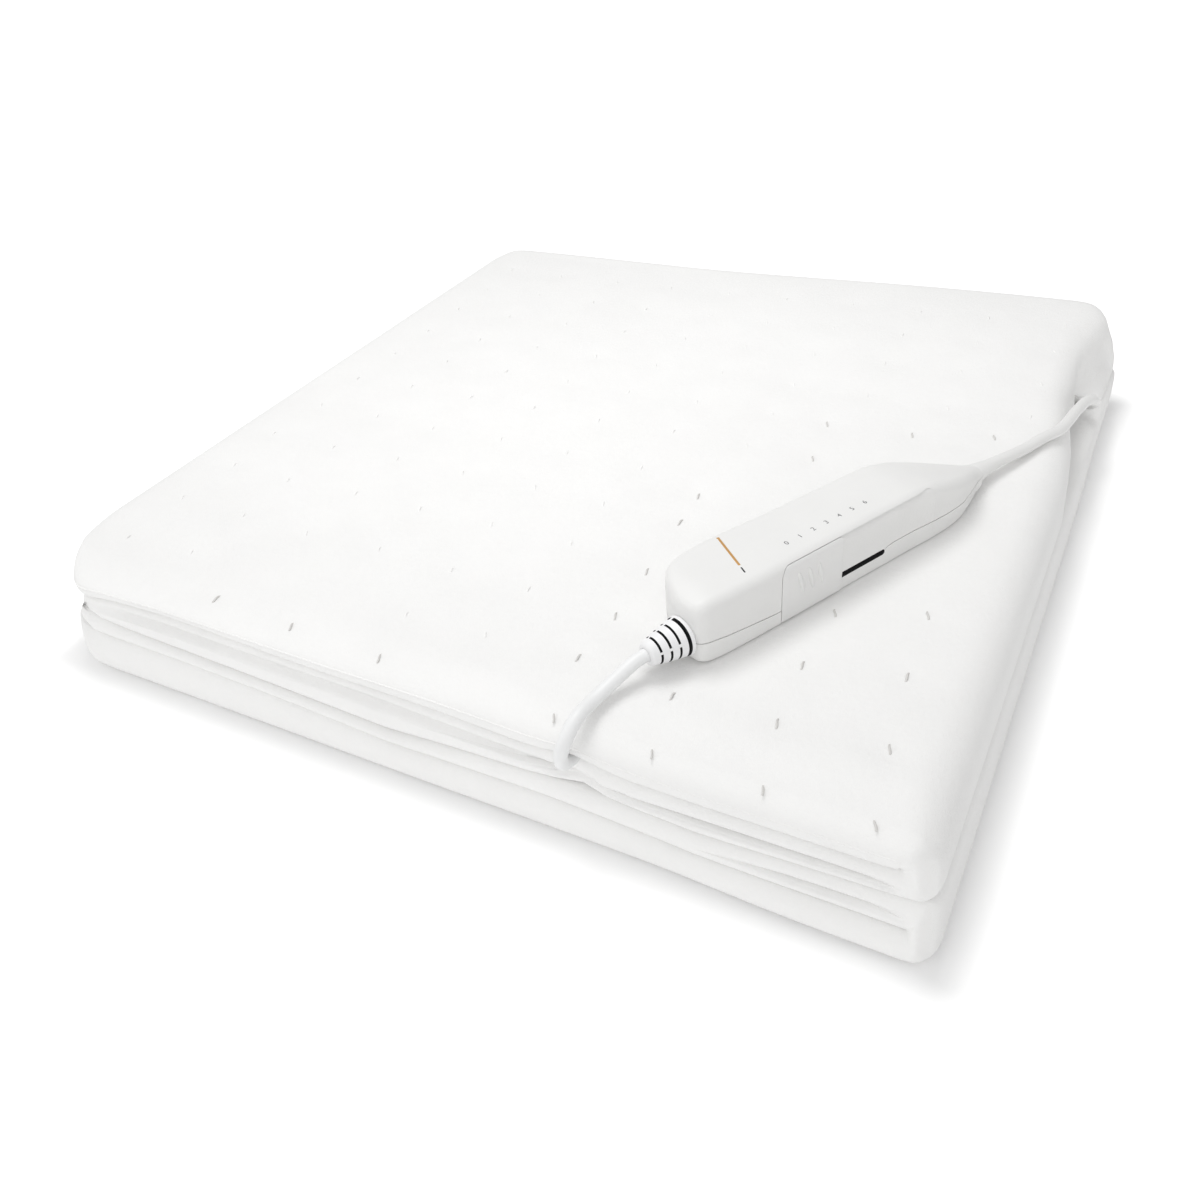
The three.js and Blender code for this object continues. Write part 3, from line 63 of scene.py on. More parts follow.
heading, tilt, roll = (math.radians(a) for a in (30.997, 37.259, -5.599))
look = Vector((-math.sin(heading) * math.cos(tilt), math.cos(heading) * math.cos(tilt), -math.sin(tilt)))
level = Vector((math.cos(heading), math.sin(heading), 0))
camera_place = Vector((224.67, -420.91, 311.01)) * mm
sensor_width, lens_in_pixels, frame_in_pixels = 36, 1076.18, 1200
rise = level.cross(look)
across = math.cos(roll) * level + math.sin(roll) * rise
upward = math.cos(roll) * rise - math.sin(roll) * level
camera_data = bpy.data.cameras.new("camera")
camera_data.sensor_width = sensor_width
camera_data.lens = sensor_width * lens_in_pixels / frame_in_pixels
camera_data.clip_start = 0.01
camera = new_piece("camera", camera_data)
axes = Matrix((across, upward, -look)).transposed().to_4x4()
camera.matrix_world = Matrix.Translation(camera_place) @ axes
bpy.context.scene.camera = camera
print("lens", round(camera_data.lens, 2), "mm")

# %% [markdown]
# ## Helpers for materials
# Every finish is a Principled shader with its colour and bump worked out by noise on the
# object's own coordinates. Numbers that are the same all over sit on the shader itself.


# %% Node helpers
def set_inputs(tree, node, inputs):
    """Sets inputs by name. One that is given another node's output is linked to it."""
    for name, value in inputs.items():
        if isinstance(value, bpy.types.NodeSocket):
            tree.links.new(value, node.inputs[name])
        else:
            node.inputs[name].default_value = value
    return node


def add_node(tree, kind, inputs, **settings):
    node = tree.nodes.new(kind)
    for name, value in settings.items():
        setattr(node, name, value)
    return set_inputs(tree, node, inputs)


def new_material(name, colour, roughness, specular=0.5):
    material = bpy.data.materials.new(name)
    material.use_nodes = True
    tree = material.node_tree
    look = {"Base Color": (*colour, 1), "Roughness": roughness, "Specular IOR Level": specular}
    return material, tree, set_inputs(tree, tree.nodes["Principled BSDF"], look)


def object_coordinates(tree, scale=(1, 1, 1)):
    place = add_node(tree, "ShaderNodeTexCoord", {}).outputs["Object"]
    return add_node(tree, "ShaderNodeMapping", {"Scale": scale, "Vector": place}).outputs["Vector"]


def noise(tree, vector, scale, detail=3.0, roughness=0.5):
    inputs = {"Scale": scale, "Detail": detail, "Roughness": roughness, "Vector": vector}
    return add_node(tree, "ShaderNodeTexNoise", inputs).outputs["Fac"]


def clouded(tree, shader, value, colour, spread):
    """The colour wanders a little to both sides with the value."""
    band = add_node(tree, "ShaderNodeValToRGB", {"Fac": value})
    for element, position, change in zip(band.color_ramp.elements, (0.3, 0.7), (-spread, spread)):
        element.position = position
        element.color = (*(min(1.0, max(0.0, c + change)) for c in colour), 1)
    set_inputs(tree, shader, {"Base Color": band.outputs["Color"]})


def bump(tree, shader, height, distance, strength=1.0, below=None):
    node = add_node(tree, "ShaderNodeBump", {"Strength": strength, "Distance": distance, "Height": height})
    if below is not None:
        set_inputs(tree, node, {"Normal": below})
    set_inputs(tree, shader, {"Normal": node.outputs["Normal"]})
    return node.outputs["Normal"]


def mapped(tree, value, low, high, **ends):
    inputs = {"To Min": low, "To Max": high, "Value": value, **ends}
    return add_node(tree, "ShaderNodeMapRange", inputs).outputs["Result"]


# %% [markdown]
# ## Fleece, plastic and cord finishes
# The blanket is brushed needle felt: a matt white with a soft sheen and two scales of
# fibre bump. The controller is a spark-eroded grey-white plastic, and the cords and boots
# are a softer, slightly shinier white.


# %% Materials
def fleece(name, colour):
    material, tree, shader = new_material(name, colour, 0.95, 0.2)
    set_inputs(tree, shader, {"Sheen Weight": 0.15, "Sheen Roughness": 0.6})
    vector = object_coordinates(tree)
    clouded(tree, shader, noise(tree, vector, 28.0, 4.0, 0.6), colour, 0.012)
    matted = bump(tree, shader, noise(tree, vector, 420.0, 4.0, 0.65), 0.0005, 0.5)
    fibres = object_coordinates(tree, (1.0, 2.6, 1.0))
    bump(tree, shader, noise(tree, fibres, 1900.0, 3.0, 0.7), 0.00022, 0.6, matted)
    return material


def moulded(name, colour, roughness, grain=900.0, depth=0.00006):
    material, tree, shader = new_material(name, colour, roughness)
    vector = object_coordinates(tree)
    clouded(tree, shader, noise(tree, vector, 60.0), colour, 0.008)
    worn = mapped(tree, noise(tree, vector, 140.0, 4.0), roughness - 0.06, roughness + 0.06)
    set_inputs(tree, shader, {"Roughness": worn})
    bump(tree, shader, noise(tree, vector, grain, 2.0), depth)
    return material


def metal(name, colour, roughness):
    material, tree, shader = new_material(name, colour, roughness)
    set_inputs(tree, shader, {"Metallic": 1.0})
    vector = object_coordinates(tree, (6.0, 1.0, 1.0))
    clouded(tree, shader, noise(tree, vector, 90.0), colour, 0.04)
    bump(tree, shader, noise(tree, vector, 700.0), 0.00002)
    return material


white_fleece = fleece("white_fleece", (0.91, 0.907, 0.898))
felt = fleece("inner_felt", (0.8, 0.78, 0.74))
case_plastic = moulded("case_plastic", (0.79, 0.788, 0.778), 0.5)
cap_plastic = moulded("cap_plastic", (0.78, 0.778, 0.77), 0.45)
cord_plastic = moulded("cord_plastic", (0.84, 0.845, 0.845), 0.42, 400.0, 0.00003)
boot_rubber = moulded("boot_rubber", (0.85, 0.85, 0.855), 0.5, 500.0, 0.00004)
dark_plastic = moulded("dark_plastic", (0.045, 0.047, 0.05), 0.5)
board_resin = moulded("board_resin", (0.05, 0.2, 0.11), 0.4)
beige_ceramic = moulded("beige_ceramic", (0.55, 0.45, 0.3), 0.7)
amber_glow = moulded("amber_glow", (0.5, 0.26, 0.06), 0.3, 300.0, 0.00001)
red_sheath = moulded("red_sheath", (0.5, 0.12, 0.09), 0.5)
plated_steel = metal("plated_steel", (0.62, 0.63, 0.65), 0.25)
bare_copper = metal("bare_copper", (0.7, 0.38, 0.22), 0.3)
print("materials", len(bpy.data.materials))

# %% [markdown]
# ## Giving the solids their finish
# Nodes whose shape is right keep their mesh, and only their slots are filled.

# %% Finishes of the solids
finishes = {
    white_fleece: ["face_cloth"],
    felt: ["backing_cloth"],
    red_sheath: ["heating_wire"],
    case_plastic: ["upper_case", "lower_case"],
    cap_plastic: ["slider_cap"],
    cord_plastic: ["blanket_lead", "mains_cord", "mains_cord_tail", "mains_cord_coil", "plug_body"],
    dark_plastic: [
        "slider_carriage", "detent_rail", "mains_terminal", "lead_terminal",
        "mains_cord_clamp", "lead_cord_clamp", "cord_tie", "triac",
    ],
    boot_rubber: [
        "mains_strain_relief", "lead_strain_relief", "terminal_strain_relief", "plug_strain_relief",
        "terminal_base", "terminal_cover",
    ],
    board_resin: ["circuit_board"],
    beige_ceramic: ["power_resistor"],
    amber_glow: ["film_capacitor", "led", "indicator_lens"],
    plated_steel: [
        "case_screw_1", "case_screw_2", "case_screw_3", "mains_clamp_screw_1", "mains_clamp_screw_2",
        "lead_clamp_screw_1", "lead_clamp_screw_2", "detent_spring", "thermal_fuse",
        "plug_pin_a", "plug_pin_b",
    ],
    bare_copper: ["wiper_contact", "slide_track", "crimp_a", "crimp_b"],
}


def fill_slots(piece, material):
    piece.data.materials.clear()
    piece.data.materials.append(material)


for material, names in finishes.items():
    for name in names:
        fill_slots(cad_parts[name], material)
print("solids with a finish", sum(len(names) for names in finishes.values()))

# %% [markdown]
# ## Cords
# A cord is one curve that never breaks. The chosen points are the same as the solids', and
# a spline through them keeps the bends even. The mains cord runs over the front lip, in
# between the layers, out at the back, and there it is wound into a small round coil.


# %% Cords
def smooth_line(points, step):
    """Centripetal Catmull-Rom through the points, as points about step apart."""
    points = [Vector(p) for p in points]
    ends = [2 * points[0] - points[1]] + points + [2 * points[-1] - points[-2]]
    line = []
    for a, b, c, d in zip(ends, ends[1:], ends[2:], ends[3:]):
        t1 = (b - a).length ** 0.5
        t2 = t1 + (c - b).length ** 0.5
        t3 = t2 + (d - c).length ** 0.5
        count = max(1, round((c - b).length / step))
        for i in range(count):
            t = t1 + (t2 - t1) * i / count
            ab = a.lerp(b, t / t1)
            bc = b.lerp(c, (t - t1) / (t2 - t1))
            cd = c.lerp(d, (t - t2) / (t3 - t2))
            line.append(ab.lerp(bc, t / t2).lerp(bc.lerp(cd, (t - t1) / (t3 - t1)), (t - t1) / (t2 - t1)))
    return line + [points[-1]]


def length_of(line):
    return sum((b - a).length for a, b in zip(line, line[1:]))


def cord_curve(name, line, diameter, material):
    curve = bpy.data.curves.new(name, "CURVE")
    curve.dimensions = "3D"
    spline = curve.splines.new("POLY")
    spline.points.add(len(line) - 1)
    for point, place in zip(spline.points, line):
        point.co = (*place, 1)
    spline.use_smooth = True
    curve.bevel_depth = diameter / 2
    curve.bevel_resolution = 4
    curve.use_fill_caps = True
    curve.materials.append(material)
    return new_piece(name, curve)


cord_diameter = 5.2 * mm
mains_front = [
    (103.05, -137.27, 65.8), (95.94, -151.6, 65.8), (88.6, -166.38, 65.8), (86.75, -170.1, 65.6),
    (84.9, -174.2, 64.6), (83, -178.8, 63.1), (81.2, -183.6, 61.9), (79.9, -188.4, 61.2),
    (79.1, -193.4, 61.2), (78.7, -199, 61.6), (78.3, -204.2, 60.2), (77.5, -208, 56.4),
    (76.2, -209.4, 51.2), (75.2, -208, 46), (74.7, -204.2, 42.19), (74.8, -199, 40.85),
    (75.3, -195.3, 41.2), (75.9, -191, 41.4), (76.5, -182, 41.5), (77, -168, 41.5),
    (77, -145, 41.5), (77, -110, 41.5), (77, -80, 41.5), (77, -58, 41.5),
    (77, -20, 41.67), (77, 20, 41.85), (77, 58, 42.03), (77, 85, 43.13),
    (77, 115, 44.35), (77, 145, 45.57), (77, 174, 46.75), (77, 190, 46.75),
    (77, 204, 46.75), (77, 211.5, 45.4), (77, 218.1, 41.6), (77, 223.05, 35.75),
    (77, 229.1, 25.2), (77, 235.2, 14.7), (77, 240.1, 8.85), (77, 246.7, 5),
    (77, 254.2, 3.7), (77, 259.5, 3.7),
]
mains_tail = [
    (-3, 259.5, 9.5), (-3, 254.3, 9.5), (-5.95, 243.3, 8.8), (-14, 235.25, 7.7),
    (-25, 232.3, 7.1), (-31, 232.3, 7.1), (-40, 232.3, 7.1), (-48, 232.3, 7.1),
]
lead_route = [
    (153.27, -25.99, 62.5), (160.5, -11.43, 62.5), (171.94, 11.63, 62.5), (175.9, 19.5, 61.7),
    (180.3, 29.5, 60.6), (186, 43, 60.1), (191, 54, 59.2), (193.6, 68, 58.2),
    (195.4, 82, 56.8), (197.6, 96, 54.5), (199.9, 108, 49.5), (200.2, 117, 44),
    (198.6, 126, 38.3), (194.2, 134.5, 33.6), (188.3, 142.3, 31), (182.46, 150.52, 29.9),
    (177.7, 157.3, 29.9), (173.39, 163.47, 29.9),
]


def smooth(value, low, high):
    """0 below low, 1 above high, with an even turn at both ends."""
    t = np.clip((value - low) / (high - low), 0, 1)
    return t * t * (3 - 2 * t)


layer_turns, points_a_turn = 3.25, 24
coil_centre, coil_radius, turn_pitch, coil_base, layer_rise = (37.0, 265.0), 40, 6, 3.7, 5.8


def coil_point(turns):
    """Inwards on the floor, up a layer within half a turn, and outwards again on top."""
    inward = min(turns, 2 * layer_turns - turns)
    radius = coil_radius - turn_pitch * inward
    height = coil_base + layer_rise * float(smooth(turns, layer_turns - 0.25, layer_turns + 0.25))
    angle = 2 * math.pi * turns
    return (coil_centre[0] + radius * math.cos(angle), coil_centre[1] + radius * math.sin(angle), height)


coil_steps = round(2 * layer_turns * points_a_turn)
coil = [coil_point(2 * layer_turns * i / coil_steps) for i in range(coil_steps + 1)]
mains_line = smooth_line([Vector(p) * mm for p in mains_front + coil + mains_tail], 2.5 * mm)
lead_line = smooth_line([Vector(p) * mm for p in lead_route], 2.0 * mm)
mains_piece = cord_curve("mains_lead", mains_line, cord_diameter, cord_plastic)
lead_piece = cord_curve("blanket_cord", lead_line, cord_diameter, case_plastic)
mains_nodes, lead_nodes = ["mains_cord", "mains_cord_coil", "mains_cord_tail"], ["blanket_lead"]
for piece, nodes_replaced in ((mains_piece, mains_nodes), (lead_piece, lead_nodes)):
    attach(piece, "underblanket")
    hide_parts(*nodes_replaced)
print("mains cord", round(length_of(mains_line), 3), "m, blanket lead", round(length_of(lead_line), 3), "m")

# %% [markdown]
# ## The controller's case
# The real case is two moulded halves with soft edges. Its outline is a few rows of numbers,
# how far the case reaches on each side at a distance along it, with a smooth line through
# them. Each row becomes a rounded cross-section. The halves are clipped at the seam, and
# cutters take out the inside, the shallow recess in which the button slides and its slot.
# The button is cut from the same form, so that it lies flush with the case.

# %% Outline of the case
case_origin = Vector((104.0, -155.6, 57.3))
case_along = Vector((0.444635, 0.895712, 0))
case_across = Vector((-0.895712, 0.444635, 0))
case_length, case_width, case_height = 164.0, 34.0, 25.0
# Shares of the length, of the width (near side, far side) and of the height (bottom, top)
case_shares = [
    (0, 0.1, 0.42, 0.03, 0.86), (0.009, 0.035, 0.52, -0.02, 0.94),
    (0.03, 0, 0.72, -0.06, 0.98), (0.054, -0.01, 0.866, -0.07, 1),
    (0.079, -0.02, 0.94, -0.07, 1), (0.115, -0.025, 0.98, -0.07, 1),
    (0.183, -0.03, 1, -0.07, 1), (0.366, -0.03, 0.959, -0.07, 1), (0.671, -0.03, 0.912, -0.07, 1),
    (0.732, -0.025, 0.871, -0.07, 0.952), (0.793, -0.015, 0.794, -0.07, 0.848),
    (0.854, 0.02, 0.706, -0.06, 0.72), (0.915, 0.112, 0.618, -0.03, 0.584),
    (0.976, 0.225, 0.547, 0.01, 0.44), (1, 0.253, 0.541, 0.016, 0.384),
]
case_scale = np.array([case_length, case_width, case_width, case_height, case_height])


def case_place(u, v, w):
    """From the case's own length, width and height in mm to the frame, in metres."""
    return (case_origin + case_along * u + case_across * v + Vector((0, 0, w))) * mm


def along(table, x):
    """Value at x, in straight lines between the table's (x, value)."""
    return np.interp(x, *zip(*table))


def seam_height(u):
    return float(along([(0, 8.2), (37, 4.9), (93, 5.2), (97, 7.2), (122, 7.2), (144, 6.0)], u))


case_rows = np.array(case_shares) * case_scale
station_runs = ((0, 6, 9), (6, 120, 39), (120, 164, 30))
stations = np.unique(np.concatenate([np.linspace(*run) for run in station_runs]))


def even_curve(xs, ys, at):
    """Smooth curve through the points that never swings past them."""
    steps, slopes = np.diff(xs), np.diff(ys) / np.diff(xs)
    product, total = slopes[:-1] * slopes[1:], slopes[:-1] + slopes[1:]
    inner = np.where(product > 0, 2 * product / (total + 1e-12), 0)
    tangents = np.concatenate([slopes[:1], inner, slopes[-1:]])
    i = np.clip(np.searchsorted(xs, at, "right") - 1, 0, len(steps) - 1)
    t = (at - xs[i]) / steps[i]
    return (
        ys[i] * (1 + 2 * t) * (1 - t) ** 2 + tangents[i] * steps[i] * t * (1 - t) ** 2
        + ys[i + 1] * t * t * (3 - 2 * t) + tangents[i + 1] * steps[i] * t * t * (t - 1)
    )


case_sides = np.stack([even_curve(case_rows[:, 0], case_rows[:, k], stations) for k in range(1, 5)], axis=1)
print("case stations", len(stations))


# %% Cross-sections and halves
def rounded_box(u0, u1, w0, w1, rounds, parts=7):
    """Points round a rounded box, corners from the low start round by the low end."""
    limit = 0.49 * min(u1 - u0, w1 - w0)
    points = []
    corners = [(u0, w0, 180), (u1, w0, 270), (u1, w1, 0), (u0, w1, 90)]
    for (u, w, start), radius in zip(corners, rounds):
        r = min(radius, limit)
        middle = (u + r if u == u0 else u - r, w + r if w == w0 else w - r)
        for k in range(parts + 1):
            angle = math.radians(start + 90 * k / parts)
            points.append((middle[0] + r * math.cos(angle), middle[1] + r * math.sin(angle)))
    return points


def closed_piece(name, bm):
    """Turns the faces outwards and makes the piece."""
    bmesh.ops.recalc_face_normals(bm, faces=bm.faces)
    mesh = bpy.data.meshes.new(name)
    bm.to_mesh(mesh)
    bm.free()
    return new_piece(name, mesh)


def ringed_body(name, rings):
    """Closed body through rings of places, with both ends capped."""
    bm = bmesh.new()
    rings = [[bm.verts.new(place) for place in ring] for ring in rings]
    for ring, following in zip(rings, rings[1:]):
        for i in range(len(ring)):
            j = (i + 1) % len(ring)
            bm.faces.new((ring[i], ring[j], following[j], following[i]))
    bm.faces.new(rings[0])
    bm.faces.new(rings[-1])
    bmesh.ops.remove_doubles(bm, verts=bm.verts, dist=2e-6)
    bmesh.ops.dissolve_degenerate(bm, edges=bm.edges, dist=1e-6)
    return closed_piece(name, bm)


def loft(name, rows, clip=lambda u: (-1e3, 1e3)):
    """Closed body through rows of (u, points), each clipped to the heights that clip gives."""
    rings = []
    for u, points in rows:
        low, high = clip(u)
        rings.append([case_place(u, v, min(max(w, low), high)) for v, w in points])
    return ringed_body(name, rings)


outer_rounds, inner_rounds = (1.6, 2.2, 6.0, 4.4), (1.0, 1.0, 4.0, 2.5)
outer_rows = [(u, rounded_box(*sides, outer_rounds)) for u, sides in zip(stations, case_sides)]
inner_rows = []
case_wall, wall_behind_slider, slider_span = 2.0, 4.6, (36, 121)
for u, (near, far, bottom, top) in zip(stations, case_sides):
    if 2.6 < u < 152:
        wall = wall_behind_slider if slider_span[0] < u < slider_span[1] else case_wall
        far_wall = case_wall + 1.4 * (1 - min(u, 24) / 24)
        sides = (near + wall, far - far_wall, bottom + case_wall, top - case_wall)
        inner_rows.append((u, rounded_box(*sides, inner_rounds)))


def sunk_rows(depth, fade=(500, 501)):
    """The case's own form, a little smaller on the near side and on top."""
    rows = []
    for u, (near, far, bottom, top) in zip(stations, case_sides):
        inwards = depth * (1 - float(np.interp(u, fade, (0, 1))))
        rounds = tuple(max(0.4, r - inwards) for r in outer_rounds)
        rows.append((u, rounded_box(near + inwards, far, bottom, top - inwards, rounds)))
    return rows


print("rows outside", len(outer_rows), "inside", len(inner_rows))


# %% Cutters for the inside, the recess and the slot
def prism(name, outline, near, deep):
    """Closed body of an outline in (u, w) between two depths."""
    return ringed_body(name, [[case_place(u, v, w) for u, w in outline] for v in (near, deep)])


hollow_cutter = loft("hollow_cutter", inner_rows)
recess_outline = rounded_box(38.5, 121, -4.0, 23.6, (0.6, 0.6, 4.3, 4.3))
cap_outline = rounded_box(38.85, 69.9, -1.2, 23.25, (0.5, 0.5, 1.2, 4.0))
slot_outline = rounded_box(47.7, 94.3, 3.9, 6.5, (1.2,) * 4)
slot_cutter = prism("slot_cutter", slot_outline, -2.5, 6.0)
# Near-black for the faces that the inside and the slot cut from the case: painted shade in the hollow. The
# dark bar at the window's near end uses it too.
painted_shade_and_bar_black = moulded("painted_shade_and_bar_black", (0.02, 0.02, 0.022), 0.7)
for cutter in (hollow_cutter, slot_cutter):
    fill_slots(cutter, painted_shade_and_bar_black)


def baked(piece):
    """The piece's mesh with its modifiers applied."""
    return bpy.data.meshes.new_from_object(piece.evaluated_get(bpy.context.evaluated_depsgraph_get()))


def shaded(bm, limit):
    """Faces outwards and smooth, with sharp edges where they turn by more than the limit."""
    bmesh.ops.recalc_face_normals(bm, faces=bm.faces)
    for edge in bm.edges:
        edge.smooth = len(edge.link_faces) == 2 and edge.calc_face_angle(0) < limit
    for face in bm.faces:
        face.smooth = True


def finished(piece, cutters, bevel=0.0, kept=None):
    """Cuts, rounds the sharp edges and bakes the result; kept is a body that it stays inside."""
    for cutter in ([kept] if kept else []) + cutters:
        cut = piece.modifiers.new("cut", "BOOLEAN")
        cut.object = cutter
        cut.operation = "INTERSECT" if cutter is kept else "DIFFERENCE"
        cut.solver = "EXACT"
        cut.material_mode = "TRANSFER"
    if bevel:
        edge = piece.modifiers.new("edge", "BEVEL")
        edge.width = bevel
        edge.segments = 2
        edge.limit_method = "ANGLE"
        edge.angle_limit = math.radians(38)
    mesh = baked(piece)
    piece.modifiers.clear()
    piece.data = mesh
    bm = bmesh.new()
    bm.from_mesh(mesh)
    bmesh.ops.remove_doubles(bm, verts=bm.verts, dist=2e-6)
    bmesh.ops.dissolve_degenerate(bm, edges=bm.edges, dist=1e-6)
    bmesh.ops.triangulate(bm, faces=[f for f in bm.faces if len(f.verts) > 4])
    shaded(bm, 0.6)
    bm.to_mesh(mesh)
    bm.free()
    return piece


def dress(piece, body, slot_name, material, *replaced):
    if not piece.data.materials:
        fill_slots(piece, material)
    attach(piece, body)
    if replaced:
        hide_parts(*replaced)
    print(piece.name, len(piece.data.polygons), "faces")


# %% Recess and slider cap
recess_depth, recess_fade, cap_thickness, cut_depths = 0.85, (111.5, 121), 0.6, (-3.0, 6.0)
recess_cutter = prism("recess_cutter", recess_outline, *cut_depths)
recess_floor = loft("recess_floor", sunk_rows(recess_depth, recess_fade))
cap_back = loft("cap_back", sunk_rows(cap_thickness))
cap_bounds = prism("cap_bounds", cap_outline, *cut_depths)
slide_button = loft("slide_button", outer_rows)
for piece in (recess_cutter, recess_floor):
    fill_slots(piece, case_plastic)
for piece in (slide_button, cap_bounds, cap_back):
    fill_slots(piece, cap_plastic)
finished(recess_cutter, [recess_floor])
finished(slide_button, [cap_back], 0.12, kept=cap_bounds)
for piece in (recess_floor, cap_back, cap_bounds):
    bpy.data.objects.remove(piece)
print("slide_button", len(slide_button.data.polygons), "faces, recess", recess_depth, "mm deep")

# %% Both halves
half_seam = 0.2
upper_shell = loft("upper_shell", outer_rows, lambda u: (seam_height(u) + half_seam, 1e3))
lower_shell = loft("lower_shell", outer_rows, lambda u: (-1e3, seam_height(u) - half_seam))
for shell, node in ((upper_shell, "upper_case"), (lower_shell, "lower_case")):
    fill_slots(shell, case_plastic)
    finished(shell, [hollow_cutter, recess_cutter, slot_cutter], 0.25)
    dress(shell, "underblanket", "case_shell", case_plastic, node)
for cutter in (hollow_cutter, recess_cutter, slot_cutter):
    bpy.data.objects.remove(cutter)

# %% [markdown]
# ## The sliding level switch
# The button has three raised ribs for the thumb, and a stem that reaches through the slot.
# The ribs repeat, so Geometry Nodes set them on a short line of points. They end above the
# seam, which climbs along the case, so that they clear it when the button slides.


# %% Ribs of the button
def tree_with(name, inputs):
    """Empty node tree with named number inputs, and the identifiers that set them."""
    tree = bpy.data.node_groups.new(name, "GeometryNodeTree")
    tree.interface.new_socket("Geometry", in_out="INPUT", socket_type="NodeSocketGeometry")
    tree.interface.new_socket("Geometry", in_out="OUTPUT", socket_type="NodeSocketGeometry")
    names = {}
    for label, (kind, value) in inputs.items():
        socket = tree.interface.new_socket(label, in_out="INPUT", socket_type=kind)
        socket.default_value = value
        names[label] = socket.identifier
    return tree, tree.nodes.new("NodeGroupInput"), tree.nodes.new("NodeGroupOutput"), names


def instances(tree, given, made, shape, material, **turn):
    """Sets a shape on the given points, makes the copies real and gives them their material."""
    copies = {"Points": given.outputs["Geometry"], "Instance": shape, **turn}
    spread = add_node(tree, "GeometryNodeInstanceOnPoints", copies).outputs["Instances"]
    real = add_node(tree, "GeometryNodeRealizeInstances", {"Geometry": spread}).outputs["Geometry"]
    finish = add_node(tree, "GeometryNodeSetMaterial", {"Geometry": real, "Material": material})
    set_inputs(tree, made, {"Geometry": finish.outputs["Geometry"]})


def bake_tree(piece, tree, names, values, material):
    """Runs a tree on a piece, keeps the result as its plain mesh and drops the modifier."""
    modifier = piece.modifiers.new("rule", "NODES")
    modifier.node_group = tree
    for label, value in values.items():
        modifier[names[label]] = value
    mesh = baked(piece)
    piece.modifiers.clear()
    piece.data = mesh
    for face in mesh.polygons:
        face.use_smooth = True
    fill_slots(piece, material)


def rib_tree(material):
    tree, given, made, names = tree_with("thumb_ribs", {
        "Rib width": ("NodeSocketFloat", 1.7), "Rib height": ("NodeSocketFloat", 14.0),
        "Rib proud": ("NodeSocketFloat", 1.6),
    })
    ball = add_node(tree, "GeometryNodeMeshUVSphere", {"Segments": 20, "Rings": 14, "Radius": 0.5 * mm})
    labels = {"X": "Rib width", "Y": "Rib proud", "Z": "Rib height"}
    sizes = {axis: given.outputs[label] for axis, label in labels.items()}
    size = add_node(tree, "ShaderNodeCombineXYZ", sizes).outputs["Vector"]
    lean, along_side = (0, math.radians(-15), 0), (0, 0, math.atan2(case_along.y, case_along.x))
    shape = ball.outputs["Mesh"]
    for change in ({"Scale": size}, {"Rotation": lean}, {"Rotation": along_side}):
        shape = add_node(tree, "GeometryNodeTransform", {"Geometry": shape, **change}).outputs["Geometry"]
    instances(tree, given, made, shape, material)
    return tree, names


def new_mesh(name, points, faces=()):
    mesh = bpy.data.meshes.new(name)
    mesh.from_pydata([tuple(p) for p in points], [], faces)
    return mesh


rib_depth, rib_middle, rib_stations = -0.85, 13.2, (48.3, 53.3, 58.3)
rib_places = [case_place(u, rib_depth, rib_middle) for u in rib_stations]
thumb_ribs = new_piece("thumb_ribs", new_mesh("thumb_ribs", rib_places))
tree, names = rib_tree(cap_plastic)
bake_tree(thumb_ribs, tree, names, {"Rib width": 2.2, "Rib height": 11.2, "Rib proud": 2.0}, cap_plastic)
print("ribs", len(rib_places), "on the button")

# %% Button
stem_outline = rounded_box(48.2, 52.8, 4.4, 6.0, (0.3,) * 4)
button_stem = finished(prism("button_stem", stem_outline, 0.4, 2.6), [], 0.1)
for piece in (slide_button, button_stem, thumb_ribs):
    dress(piece, "level_slider", "slider_cap", cap_plastic, "slider_cap")

# %% [markdown]
# ## Boots
# Each boot is a turned body round its cord. The mains boot has four rows of slots cut round
# it, which let it bend. They are made by moving the points of the turned grid inwards, and
# their floors get a near-black colour: painted shade for the shadow deep in the slots.

# %% Boots
def turned_boot(name, profile, centre, slots=(), steps=72):
    """Revolves (u, r) round an axis along the case; slots are (u0, u1, arcs in degrees)."""
    ends = {e for a, b, arcs in slots for e in (a, a + slot_edge, b - slot_edge, b)}
    stations = sorted({u for u, r in profile} | ends)

    def in_slot(u, k):
        half, angle = slot_edge / 2, 360 * k / steps
        found = [arcs for a, b, arcs in slots if a + half < u < b - half]
        return any(low <= angle <= high for arcs in found for low, high in arcs)

    def place(u, radius, k):
        angle = 2 * math.pi * k / steps
        return case_place(u, centre[0] + radius * math.cos(angle), centre[1] + radius * math.sin(angle))

    deep = [[in_slot(u, k) for k in range(steps)] for u in stations]
    rings = [
        [(u, slot_floor if cut else float(along(sorted(profile), u)), k) for k, cut in enumerate(row)]
        for u, row in zip(stations, deep)
    ]
    for at, u in ((0, stations[0]), (len(rings) + 1, stations[-1])):
        rings.insert(at, [(u, boot_bore, k) for k in range(steps)])
        deep.insert(at, [False] * steps)
    bm = bmesh.new()
    made = [[bm.verts.new(place(*corner)) for corner in ring] for ring in rings]
    for a in range(len(made)):
        b = (a + 1) % len(made)
        for k in range(steps):
            n = (k + 1) % steps
            face = bm.faces.new((made[a][k], made[a][n], made[b][n], made[b][k]))
            # Faces in or beside a slot take the second material, near-black: painted shade in the slots.
            face.material_index = int(deep[a][k] or deep[b][k] or deep[a][n] or deep[b][n])
    shaded(bm, 0.7)
    return closed_piece(name, bm)


